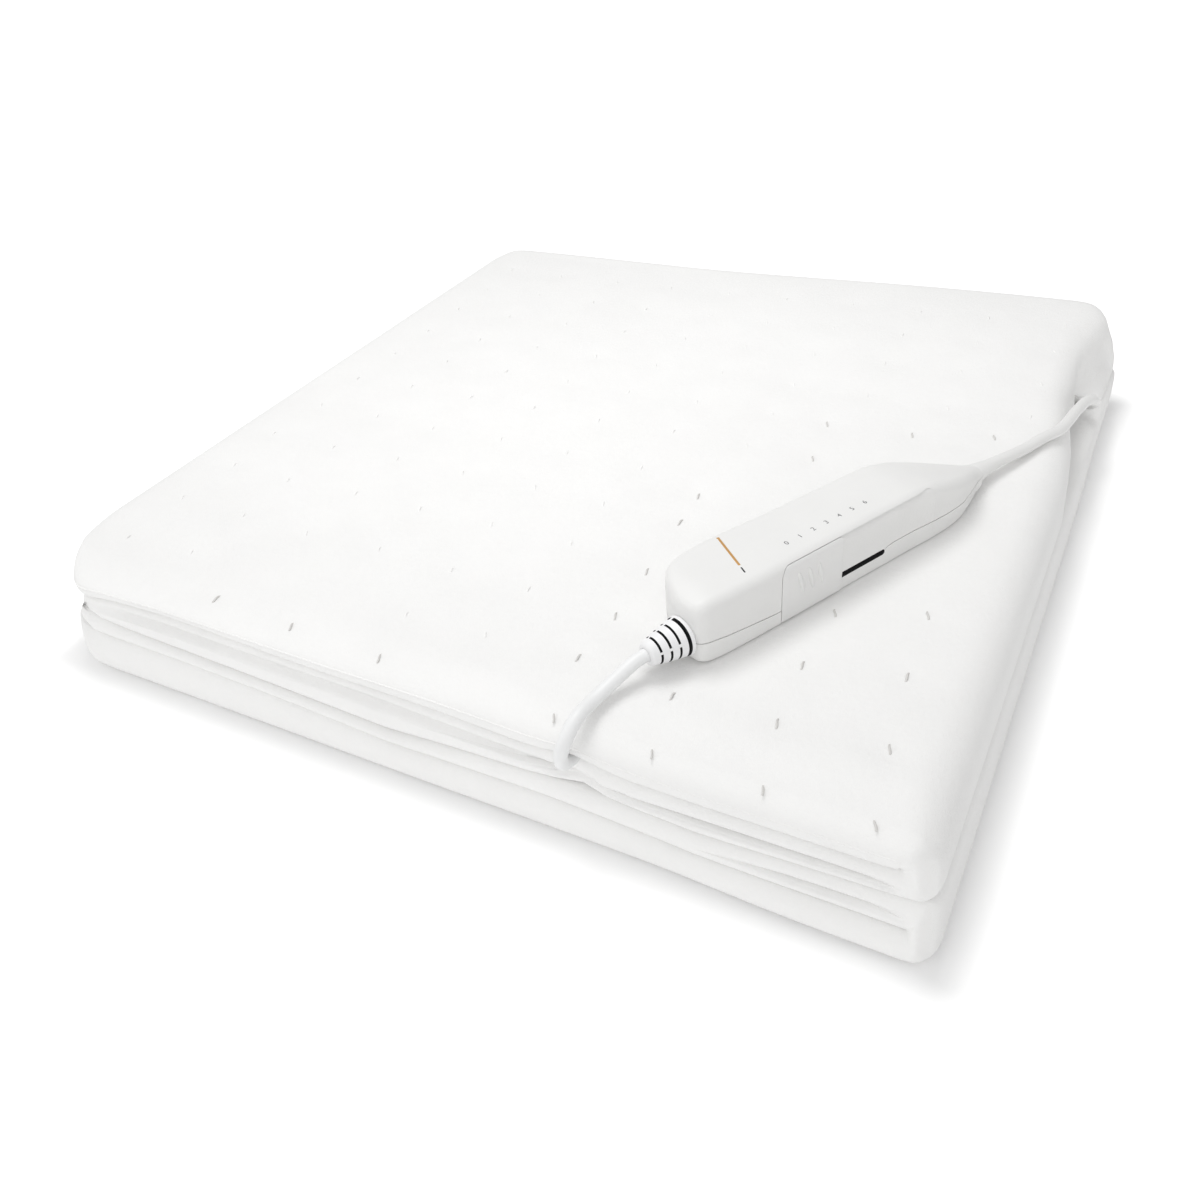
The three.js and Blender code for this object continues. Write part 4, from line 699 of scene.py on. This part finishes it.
long_arcs = ((75, 238), (255, 360), (0, 58))
broken_arcs = ((75, 152), (170, 238), (255, 348), (10, 58))
slots = [(-3.1 - 3.6 * i, -2.2 - 3.6 * i, broken_arcs) for i in range(1, 4)] + [(-3.2, -1.8, long_arcs)]
boot_profile = [
    (-16.9, 3.2), (-16.8, 3.9), (-16.3, 4.55), (-15.6, 4.75), (-9, 6.3),
    (-1.2, 7.75), (-0.4, 7.8), (-0.1, 7.5), (1.5, 5.2),
]
relief_profile = [
    (158.0, 3.0), (163.2, 4.7), (165.5, 4.4), (168, 3.98), (171, 3.52), (174, 3.15), (177, 2.9), (180.3, 2.7),
]
boot_bore, slot_floor, slot_edge = 2.65, 3.9, 0.08
mains_boot = turned_boot("mains_boot", boot_profile, (9.0, 8.5), slots)
lead_boot = turned_boot("lead_boot", relief_profile, (13.5, 5.2))
# The second material is the near-black of painted shade for the slot floors.
for material in (boot_rubber, painted_shade_and_bar_black):
    mains_boot.data.materials.append(material)
dress(mains_boot, "underblanket", "soft_boot", boot_rubber, "mains_strain_relief")
dress(lead_boot, "underblanket", "soft_boot", case_plastic, "lead_strain_relief")

# %% [markdown]
# ## Indicator window and level marks
# A thin amber window lies across the top of the case, with a short dark bar at its near
# end. Above the slider the levels are printed from 0 to 6. Flat text would do for them, and
# it is made a mesh here, so that all the figures are one piece in the frame.

# %% Indicator window
window_middle, window_turn = (30.25, 17.6), math.radians(72.5)


def across_window(s, t):
    """Place on the case's top, s along the window and t across it."""
    u = window_middle[0] + s * math.cos(window_turn) - t * math.sin(window_turn)
    return u, window_middle[1] + s * math.sin(window_turn) + t * math.cos(window_turn)


def window_bar(name, start, end, half, top, material):
    """Low box on the case's top, dressed as part of the window."""
    outline = [(start, -half), (end, -half), (end, half), (start, half)]
    rings = [[case_place(*across_window(s, t), w) for s, t in outline] for w in (window_base, top)]
    dress(finished(ringed_body(name, rings), [], 0.12), "underblanket", "amber", material, "indicator_lens")


window_base = 23.2
window_bar("indicator_window", -8.6, 12.4, 1.25, 25.08, amber_glow)
window_bar("window_mask", -13.4, -8.4, 1.1, 25.06, painted_shade_and_bar_black)

# %% Level marks
print_ink = moulded("print_ink", (0.09, 0.09, 0.095), 0.6)
first_mark, button_travel, marks_depth = 50, 41, 9.0
marks = bmesh.new()
for number in range(7):
    text = bpy.data.curves.new(f"figure_{number}", "FONT")
    text.body = str(number)
    text.size = 3.1
    text.extrude = 0.02
    text.align_x = text.align_y = "CENTER"
    holder = new_piece(f"figure_{number}", text)
    figure = baked(holder)
    for vertex in figure.vertices:
        x, y, z = vertex.co
        vertex.co = case_place(first_mark + button_travel * number / 6 + x, marks_depth + y, case_height + z)
    marks.from_mesh(figure)
    bpy.data.objects.remove(holder)
bmesh.ops.remove_doubles(marks, verts=marks.verts, dist=1e-6)
level_marks = closed_piece("level_marks", marks)
dress(level_marks, "underblanket", "carbon", print_ink)

# %% [markdown]
# ## The folded blanket
# The real blanket is one sheet, folded once along its length and then over and over into
# four passes. It is made in the same way here: a point of the cloth is found from its way
# along the zigzag, its depth and its side of the sheet. That keeps the layers in order and
# the thickness even, which a simulation of so many tight layers would not.

# %% Folding rule
half_width, half_depth = 200.0, 203.75
outer_offset, inner_offset = 6.2, 0.5
lower_turn = {"x": 187.3, "bulge": 1, "squareness": (0.32, 0.38)}
left_turn = {"x": -187.3, "bulge": -1, "squareness": (0.6, 0.45)}
upper_turn = {"x": 184.5, "bulge": 1, "squareness": (0.82, 0.34)}


def hump(value, middle, width):
    return np.exp(-(((value - middle) / width) ** 2))


# Heights of the lines that the photograph shows on the front, against x: between the passes,
# and of the creases within the second and third pass
first_gap = [
    (-200, 22), (-170, 21), (-119, 21.5), (-61, 19.5), (-8, 16), (62, 16.5),
    (123, 13), (170, 13.5), (200, 13),
]
second_gap = [
    (-200, 32), (-170, 31.5), (-150, 29), (-119, 27.5), (-61, 25), (-8, 22), (16, 24), (62, 26), (104, 24.5),
    (123, 23), (160, 25), (200, 27),
]
third_gap = [
    (-200, 38.5), (-185, 40), (-170, 43), (-150, 46), (-119, 47.5), (-89, 46.5), (-61, 45), (-34, 44),
    (16, 43.5), (39, 42), (58, 41), (68, 42), (76, 44.3), (84, 42), (96, 39.5), (123, 39), (178, 39),
    (200, 40.5),
]
third_crease = [
    (-200, 37), (-170, 39.5), (-150, 40), (-119, 40.5), (-61, 38.5), (-8, 37.5), (62, 34.5), (83, 30.5),
    (178, 31.5), (200, 31),
]
second_crease = [(-200, 26), (140, 18), (200, 20)]
top_line = [(-200, 55.4), (-150, 56.1), (-60, 56.3), (60, 57), (200, 57)]
first_level, second_level, third_level, mouth_lift = 12.7, 25.7, 38.4, 10.5


def mouth_share(y):
    """How far the upper passes are lifted, along the depth: an arch near the back."""
    return np.interp(y, [-58, 20, 58, 100, 125, 160, 190, 203.75], [0, 0.03, 0.12, 0.55, 0.9, 1, 0.95, 0.85])


def raise_share(x):
    return smooth(x, -60, 165)


def surfaces(number, x, y):
    """Lower and upper surface of a pass at a place."""
    front = 1 - smooth(y, -199, -165)
    b1 = first_level + front * (along(first_gap, x) - first_level)
    b2 = second_level + front * (along(second_gap, x) - second_level)
    lift = mouth_lift * raise_share(x) * mouth_share(y)
    near_cord = smooth(x, -40, 60) * (1 - smooth(x, 95, 150))
    inside_gap = 0.6 + 5.6 * near_cord + 5.0 * smooth(x, 95, 150) * (1 - mouth_share(y))
    b3 = third_level + lift
    b3 = b3 + front * (along(third_gap, x) - 0.4 - b3)
    b4 = third_level + lift + inside_gap
    b4 = b4 + front * (along(third_gap, x) + 0.2 - b4)
    part = 0.25 - 0.2 * front
    if number == 0:
        return 0 * b1 + 0.05, b1 - part
    if number == 1:
        return b1 + part, b2 - part
    if number == 2:
        return b2 + part + lift * (1 - front), b3
    top = along(top_line, x) + 0.45 * lift
    top = top - 4.5 * smooth(x, 20, 130) * (1 - smooth(y, -204, -178))
    return b4, top + 0 * b4


# %% Shape of the strip's section
def hem_share(distance, reach=3.0, least=0.6):
    """How the cloth thins towards a hemmed edge."""
    near = np.clip(1 - (1 - np.minimum(distance, reach) / reach) ** 2, 0, 1)
    return least + (1 - least) * np.sqrt(near)


edge_steps = [0, 0.6, 1.5, 3, 6, 9.5, 11.5, 13, 14.5, 17]
leg_back = [half_depth - d for d in edge_steps]
near_leg = list(np.arange(half_depth - 22, -172, -4.6))
far_leg = list(np.arange(half_depth - 22, -172, -9.0))
bend_steps = 36
front_edges = [0.0, 0.9, 0.7, 0.0]
nose_depths = [(4.4, 4.8), (4.0, 4.0), (4.4, 4.4)]


def pass_shape(number, x):
    """Front edge and bend depths (far side, near side) of a pass at x."""
    front = front_edges[number] - half_depth
    if number == 2:
        front += 3.0 * hump(x, 76, 9)
    if number == 3:
        return front, 6.0, 21.0 - 13.0 * smooth(x, 0, 120)
    return front, nose_depths[number][0], nose_depths[number][1]


def section(shape, end_share):
    """Depths and offsets round the strip's section: far side (n > 0), front bend, near side."""
    front, depth_far, depth_near = shape
    far = np.array(leg_back + far_leg)
    near = np.array(leg_back + near_leg)

    def stretched(leg, depth):
        share = (half_depth - leg) / (half_depth - leg[-1])
        return half_depth - share * (half_depth - (front + depth + 2.0))

    angles = np.linspace(0, math.pi, bend_steps + 1)
    depths = np.where(angles < math.pi / 2, depth_far, depth_near)
    bend_y = front + depths * (1 - np.sin(angles))
    y_far, y_near = stretched(far, depth_far), stretched(near, depth_near)
    y = np.concatenate([y_far, bend_y, y_near[::-1]])
    n = np.concatenate([np.ones(len(far)), np.cos(angles), -np.ones(len(near))])
    return y, n, outer_offset * hem_share(half_depth - y) * end_share


# %% The zigzag, pass by pass
def pass_columns(number, places, direction):
    columns = []
    for x in places:
        end_share = {0: hem_share(x + 200, 3.0, 0.96), 3: hem_share(x + 200, 11.0, 0.3)}.get(number, 1.0)
        columns.append(("pass", number, x, direction, *section(pass_shape(number, x), end_share)))
    return columns


def turn_columns(below, above, turn, steps=16):
    columns = []
    low, high = pass_shape(below, turn["x"]), pass_shape(above, turn["x"])
    for k in range(1, steps):
        angle = -math.pi / 2 + math.pi * k / steps
        shape = [a + smooth(k / steps, 0.6, 1) * (b - a) for a, b in zip(low, high)]
        columns.append(("turn", (below, above), turn, angle, *section(shape, 1.0)))
    return columns


def spaced_places(start, end, step, fine_at_start=False, fine_at_end=False):
    sign = 1 if end > start else -1
    length = abs(end - start)
    first = edge_steps if fine_at_start else [0]
    last = edge_steps if fine_at_end else [0]
    middle = np.arange(first[-1] + step, length - last[-1] - step / 2, step)
    return [start + sign * d for d in list(first) + list(middle) + [length - d for d in reversed(last)]]


columns = pass_columns(0, spaced_places(-200, 187.3, 11, fine_at_start=True), 1)
columns += turn_columns(0, 1, lower_turn)
columns += pass_columns(1, spaced_places(187.3, -187.3, 11), -1)
columns += turn_columns(1, 2, left_turn)
columns += pass_columns(2, spaced_places(-187.3, 184.5, 11), 1)
columns += turn_columns(2, 3, upper_turn)
columns += pass_columns(3, spaced_places(184.5, -200, 4.6, fine_at_end=True), -1)
print("columns", len(columns), "points each", len(columns[0][4]))


def draw_in(x, y, low):
    """How far the upper passes are pulled in at the mouth; low runs from 0 on top to 1 below."""
    pulled = np.interp(y, [20, 60, 95, 130, 160, 186, 203.75], [0, 0.3, 0.9, 1, 0.95, 0.4, 0])
    return 11.0 * smooth(x, 120, 184.5) * pulled * (1 - low * smooth(y, 142, 160))


def spread(points):
    """The pad settles: its right side splays towards the base and the lowest fold bulges forward."""
    x, y, z = points.T
    at_mouth = smooth(y, 70, 150)
    lifted_clear = np.interp(z, [0, 3.5, 56], [0.86, 1, 0])
    splay = (1 - at_mouth) * 5.2 * lifted_clear + at_mouth * 4.0 * (1 - smooth(z, 34, 54))
    slits = 3.0 * (1 - smooth(y, -200, -180)) * smooth(x, 150, 184) * (1 - smooth(x, 187, 199))
    bulge = (1.0 + 2.2 * smooth(x, 100, 170)) * smooth(z, -1.5, 3) * (1 - smooth(z, 5, 24))
    x = x + splay * smooth(x, 140, 197) + slits
    return np.stack([x, y - bulge * (1 - smooth(y, -203, -150)), z], axis=1)


# reach of the rounding in plan, across and deep: front left, front right, back left, back right
corner_reach = [
    [(24, 29), (12, 12), (18, 18), (5, 6)],
    [(30, 40), (12, 12), (18, 18), (5, 6)],
    [(38, 56), (12, 12), (20, 20), (12, 14)],
    [(38, 54), (11, 11), (20, 20), (26, 28)],
]


def rounded_in_plan(points, level):
    """Turns the square corners of the plan into round ones; level runs from 0 to 3 with the passes."""
    x, y = points[:, 0].copy(), points[:, 1].copy()
    low, high = int(math.floor(level)), min(3, int(math.floor(level)) + 1)
    for i, (side, end) in enumerate([(-1, -1), (1, -1), (-1, 1), (1, 1)]):
        share = level - low
        reach_x, reach_y = (a + share * (b - a) for a, b in zip(corner_reach[low][i], corner_reach[high][i]))
        a = np.clip((side * x - (half_width - reach_x)) / reach_x, 0, None)
        b = np.clip((end * y - (half_depth - reach_y)) / reach_y, 0, None)
        inside = (a > 0) & (b > 0)
        a2 = a * np.sqrt(np.clip(1 - np.minimum(b, 1) ** 2 / 2, 0, 1))
        b2 = b * np.sqrt(np.clip(1 - np.minimum(a, 1) ** 2 / 2, 0, 1))
        x = np.where(inside, side * (half_width - reach_x + reach_x * a2), x)
        y = np.where(inside, end * (half_depth - reach_y + reach_y * b2), y)
    return np.stack([x, y, points[:, 2]], axis=1)


def place_column(column, shell):
    """Points of one column; where is x on a pass and the turn itself on a turn."""
    kind, number, where, way, y, n, thick = column
    offset = n * (thick if shell == "outer" else inner_offset * np.ones_like(thick))
    if kind == "pass":
        low, high = surfaces(number, where, y)
        middle, scale = (low + high) / 2, (high - low) / 2 / outer_offset
        draw = draw_in(where, y, 3 - number) if number >= 2 else 0 * y
        z = middle + way * offset * scale
        if shell == "outer" and number == 3:
            share = np.clip((z - low) / (high - low), 0, 1)
            z = z + (1 - smooth(y, -198, -180)) * (low + (high - low) * share**1.35 - z)
        if shell == "outer" and number in (1, 2):
            line = along(second_crease if number == 1 else third_crease, where)
            strength = 2.8 * smooth(where, 120, 160) if number == 1 else 3.6
            strength *= (1 - smooth(where, 172, 186)) * (1 - smooth(-where, 130, 184))
            at_front = 1 - smooth(y, -half_depth + 4, -half_depth + 9)
            y = y + strength * hump(z, line, 1.7) * at_front
        return spread(rounded_in_plan(np.stack([where - draw, y, z], axis=1), number))
    below, above = number
    turn_x, side = where["x"], where["bulge"]
    low1, high1 = surfaces(below, turn_x, y)
    low2, high2 = surfaces(above, turn_x, y)
    m1, m2 = (low1 + high1) / 2, (low2 + high2) / 2
    share = smooth((1 + math.sin(way)) / 2, 0, 1)
    half = (high1 - low1) / 2 + share * ((high2 - low2) - (high1 - low1)) / 2
    centre, radius = (m1 + m2) / 2, (m2 - m1) / 2
    reach = radius - side * offset / outer_offset * half
    power = where["squareness"][0 if way > 0 else 1]
    c = math.cos(way) ** power
    s = math.copysign(abs(math.sin(way)) ** power, math.sin(way))
    draw = draw_in(turn_x, y, 1 - share) if below == 2 else 0 * y
    x = turn_x + side * reach * (half_width - abs(turn_x)) / (radius + half) * c - draw
    z = centre + reach * s
    if below == 2:
        skirt = smooth(y, 138, 158) * 16.4 * mouth_share(y)
        z = z - skirt * np.interp(math.degrees(way), [-90, -62, -25, 30], [0, 1, 0.55, 0])
        hollow = smooth(y, 112, 145) * (1 - smooth(y, 184, 197))
        x = x - 6.5 * hollow * hump(z, 40, 8)
    return spread(rounded_in_plan(np.stack([x, y, z], axis=1), below + share))


outer = np.array([place_column(c, "outer") for c in columns])
inner = np.array([place_column(c, "inner") for c in columns])


# %% [markdown]
# ## Relief of the cloth
# Tufts pull small dimples into the top, and the cloth between them swells a little. Under
# the controller it gives way. A formula moves the points, because a bump in the material
# would be lost on the outline and in the exported mesh.


# %% Relief
def waves(x, y, seed):
    """A slow, irregular swell between about -1 and 1."""
    rng = np.random.default_rng(seed)
    total = np.zeros_like(x)
    for _ in range(7):
        angle, wavelength, phase = rng.uniform(0, math.pi), rng.uniform(55, 160), rng.uniform(0, 2 * math.pi)
        total += np.sin((x * math.cos(angle) + y * math.sin(angle)) * 2 * math.pi / wavelength + phase)
    return total / 4


tuft_pitch, press_depth = (38.5, 33.6), 1.8
# the dent under the controller: its two directions, each with its middle and its half reach
dent = ((case_along, 76, 74), (case_across, 15, 15))
measured_tufts = [
    (-97, -191), (-55, -193), (-10, -195), (67, -197), (105, -198), (144, -198), (180, -198), (176, -169),
    (139, -172), (101, -173), (61, -168), (172, -133), (137, -141), (62, -140), (170, -97), (138, -107),
    (61, -110), (59, -73), (58, -51), (94, -3), (90, 30), (130, 33), (165, 43),
]


def tuft_places():
    """The tufts that the photograph shows, and a grid of the same pitch over the rest."""
    places = list(measured_tufts)
    rng = np.random.default_rng(4)
    for j in range(-1, 12):
        for i in range(-7, 4):
            x = 61 + i * tuft_pitch[0] + rng.uniform(-1.5, 1.5)
            y = -171 + j * tuft_pitch[1] + rng.uniform(-1.5, 1.5)
            near = min(math.hypot(x - a, y - b) for a, b in measured_tufts)
            under_controller = 70 < x < 185 and -170 < y < 20
            if near > 24 and -178 < x < 178 and -180 < y < 190 and not under_controller:
                places.append((x, y))
    return places


tufts = tuft_places()
top_columns = [i for i, c in enumerate(columns) if c[0] == "pass" and c[1] == 3]
near_start = len(leg_back) + len(far_leg) + bend_steps // 2


def with_relief(skin):
    x, y = skin[..., 0], skin[..., 1]
    on_top = np.zeros_like(x)
    on_top[top_columns, near_start:] = 1
    on_top *= smooth(y, -203, -185) * smooth(half_depth - y, 0, 12) * smooth(x + 200, 0, 14)
    dimple = np.zeros_like(x)
    for i, (a, b) in enumerate(tufts):
        r2 = (x - a) ** 2 + (y - b) ** 2
        depth = 1.0 if i < len(measured_tufts) else 0.6
        dimple += depth * (0.7 * np.exp(-r2 / 22.0) + 0.35 * np.exp(-r2 / 150.0))
    past_case = []
    for axis, middle, half in dent:
        place = (x - case_origin.x) * axis.x + (y - case_origin.y) * axis.y
        past_case.append(np.maximum(0, np.abs(place - middle) - half))
    pressed = press_depth * (1 - smooth(np.hypot(*past_case), 2, 26))
    lifted = skin.copy()
    lifted[..., 2] += on_top * ((0.35 * waves(x, y, 8) - dimple) * (1 - smooth(pressed, 0.5, 2)) - pressed)
    return lifted


outer = with_relief(outer)
print("tufts", len(tufts), "of which the photograph shows", len(measured_tufts))


def top_height(x, y):
    """Height of the finished top surface at a place."""
    skin = outer[top_columns][:, near_start:].reshape(-1, 3)
    nearest = np.argsort((skin[:, 0] - x) ** 2 + (skin[:, 1] - y) ** 2)[:4]
    weights = 1 / (0.1 + np.hypot(skin[nearest, 0] - x, skin[nearest, 1] - y))
    return float((skin[nearest, 2] * weights).sum() / weights.sum())


# %% Closed mesh of the blanket
def closed_sheet(name, outside, inside):
    rows, count = outside.shape[:2]
    points = np.concatenate([outside.reshape(-1, 3), inside.reshape(-1, 3)]) * mm
    out = np.arange(rows * count).reshape(rows, count)
    ins = out + rows * count

    def quads(*corners):
        return np.stack([corner.ravel() for corner in corners], axis=1)

    faces = [
        quads(out[:-1, :-1], out[:-1, 1:], out[1:, 1:], out[1:, :-1]),
        quads(ins[:-1, :-1], ins[1:, :-1], ins[1:, 1:], ins[:-1, 1:]),
        quads(out[:-1, 0], out[1:, 0], ins[1:, 0], ins[:-1, 0]),
        quads(out[:-1, -1], ins[:-1, -1], ins[1:, -1], out[1:, -1]),
        quads(out[0, :-1], ins[0, :-1], ins[0, 1:], out[0, 1:]),
        quads(out[-1, :-1], out[-1, 1:], ins[-1, 1:], ins[-1, :-1]),
    ]
    mesh = new_mesh(name, points.tolist(), np.concatenate(faces).tolist())
    bm = bmesh.new()
    bm.from_mesh(mesh)
    bmesh.ops.recalc_face_normals(bm, faces=bm.faces)
    bm.to_mesh(mesh)
    bm.free()
    mesh.shade_smooth()
    return new_piece(name, mesh)


blanket = closed_sheet("folded_blanket", outer, inner)
dress(blanket, "underblanket", "face_cloth", white_fleece, "face_cloth", "backing_cloth")

# %% [markdown]
# ## Tack stitches
# Every tuft is one short bar of thread that holds the layers together and sinks into its
# dimple. There are many alike, so Geometry Nodes set a small bent thread on a cloud of
# points, each turned a little by a seeded random value.


# %% Tack stitches
def stitch_tree(material):
    tree, given, made, names = tree_with("tack_stitches", {
        "Length": ("NodeSocketFloat", 4.6), "Thread": ("NodeSocketFloat", 0.8), "Seed": ("NodeSocketInt", 3),
    })
    bend = add_node(tree, "GeometryNodeCurvePrimitiveBezierSegment", {
        "Resolution": 8, "Start": (0, -0.5, -0.05), "Start Handle": (0.12, -0.2, 0.13),
        "End Handle": (-0.14, 0.2, 0.13), "End": (0.02, 0.5, -0.05),
    })
    long = {0: (mm, mm, mm), "Scale": given.outputs["Length"]}
    scaled = add_node(tree, "ShaderNodeVectorMath", long, operation="SCALE")
    sized = {"Geometry": bend.outputs["Curve"], "Scale": scaled.outputs["Vector"]}
    line = add_node(tree, "GeometryNodeTransform", sized).outputs["Geometry"]
    half = add_node(tree, "ShaderNodeMath", {0: given.outputs["Thread"], 1: mm / 2}, operation="MULTIPLY")
    round_thread = {"Resolution": 6, "Radius": half.outputs["Value"]}
    ring = add_node(tree, "GeometryNodeCurvePrimitiveCircle", round_thread).outputs["Curve"]
    tube = {"Fill Caps": True, "Curve": line, "Profile Curve": ring}
    shape = add_node(tree, "GeometryNodeCurveToMesh", tube).outputs["Mesh"]
    turns = {0: (-0.05, -0.05, -0.15), 1: (0.05, 0.05, 0.45), "Seed": given.outputs["Seed"]}
    wander = add_node(tree, "FunctionNodeRandomValue", turns, data_type="FLOAT_VECTOR")
    instances(tree, given, made, shape, material, Rotation=wander.outputs[0])
    return tree, names


# The measured tufts get a grey thread. The rest get a near-white copy of the same thread: painted light for
# where the lit top washes the stitches out.
grey_thread = moulded("grey_thread", (0.66, 0.65, 0.63), 0.7, 2500.0, 0.00004)
painted_lit_thread = moulded("painted_lit_thread", (0.9, 0.895, 0.885), 0.7, 2500.0, 0.00004)
thread_rise = 0.05
groups = [
    ("tack_stitches", tufts[:len(measured_tufts)], grey_thread, 4.8, 0.8),
    ("painted_lit_stitches", tufts[len(measured_tufts):], painted_lit_thread, 3.4, 0.45),
]
for name, places, thread, length, diameter in groups:
    places = [(x * mm, y * mm, (top_height(x, y) + thread_rise) * mm) for x, y in places]
    stitches = new_piece(name, new_mesh(name, places))
    tree, names = stitch_tree(thread)
    bake_tree(stitches, tree, names, {"Length": length, "Thread": diameter, "Seed": 3}, thread)
    dress(stitches, "underblanket", "face_cloth", thread)

# %% [markdown]
# ## Room and light
# A pale floor with a glow that only the camera sees. The glow is nil next to the pad and rises
# within a few centimetres: painted light that whitens the open floor, so that the band round
# the pad is the real soft shadow plus painted shade. The sky is brightest in front of the pad,
# and one soft lamp hangs over its middle, so that the top is a little brighter there than at
# its edges, as in the photograph.


# %% Floor
def seen_rays(tree):
    """1 for rays from the camera and for what gloss and glass show, 0 for light."""
    rays = add_node(tree, "ShaderNodeLightPath", {}).outputs
    total = rays["Is Camera Ray"]
    for ray in ("Is Glossy Ray", "Is Transmission Ray"):
        total = add_node(tree, "ShaderNodeMath", {0: total, 1: rays[ray]}, operation="MAXIMUM").outputs[0]
    return total


# Within this reach of the pad the floor's camera-only glow is held back: painted shade round the pad.
floor_reach, floor_level, pad_reach, painted_shade_reach = 6.0, -0.0003, (0.205, 0.206, 1.0), 0.026
corners = [(-1, -1), (1, -1), (1, 1), (-1, 1)]
corners = [(floor_reach * a, floor_reach * b, floor_level) for a, b in corners]
floor = new_piece("floor", new_mesh("floor", corners, [(0, 1, 2, 3)]))
material, tree, shader = new_material("floor_paint", (1.0, 1.0, 1.0), 1.0, 0.0)
place = add_node(tree, "ShaderNodeTexCoord", {}).outputs["Object"]
for operation, other in (("ABSOLUTE", (0, 0, 0)), ("SUBTRACT", pad_reach), ("MAXIMUM", (0, 0, 0))):
    step = add_node(tree, "ShaderNodeVectorMath", {0: place, 1: other}, operation=operation)
    place = step.outputs["Vector"]
distance = add_node(tree, "ShaderNodeVectorMath", {0: place}, operation="LENGTH").outputs["Value"]
# The camera-only glow rises from nothing at the pad's edge to 0.5 a few centimetres out: painted light on the
# open floor and painted shade next to the pad.
glow = mapped(tree, distance, 0.0, 0.5, **{"From Max": painted_shade_reach})
lift = add_node(tree, "ShaderNodeMath", {0: seen_rays(tree), 1: glow}, operation="MULTIPLY").outputs[0]
set_inputs(tree, shader, {"Emission Color": (1, 1, 1, 1), "Emission Strength": lift})
fill_slots(floor, material)
print("floor at", floor_level, "m, shadow kept within", painted_shade_reach, "m of the pad")

# %% Sky
world = bpy.data.worlds.new("sky")
bpy.context.scene.world = world
world.use_nodes = True
tree = world.node_tree
bright_side, dim_level, bright_level = (-0.1, -0.99, 0.0), 0.28, 1.15
direction = add_node(tree, "ShaderNodeTexCoord", {}).outputs["Generated"]
towards = add_node(tree, "ShaderNodeVectorMath", {0: direction, 1: bright_side}, operation="DOT_PRODUCT")
dimmed = mapped(tree, towards.outputs["Value"], dim_level, bright_level, **{"From Min": -1.0})
blend = add_node(tree, "ShaderNodeMix", {"Factor": seen_rays(tree), "A": dimmed, "B": 1.0})
set_inputs(tree, tree.nodes["Background"], {"Strength": blend.outputs["Result"], "Color": (1, 1, 1, 1)})
print("sky strength from", dim_level, "to", bright_level)


# %% Lamp
def area_lamp(name, place, target, size, watts):
    data = bpy.data.lights.new(name, "AREA")
    data.shape = "DISK"
    data.size = size
    data.energy = watts
    direction = Vector(target) - Vector(place)
    turn = direction.to_track_quat("-Z", "Y").to_matrix().to_4x4()
    new_piece(name, data).matrix_world = Matrix.Translation(place) @ turn


area_lamp("soft_key", (-0.05, -0.02, 0.6), (-0.04, 0, 0), 0.3, 1.3)
print("lamps", [lamp.name for lamp in bpy.data.lights])

# %% Names of the cords
print("cords declared", mains_piece.name, lead_piece.name)
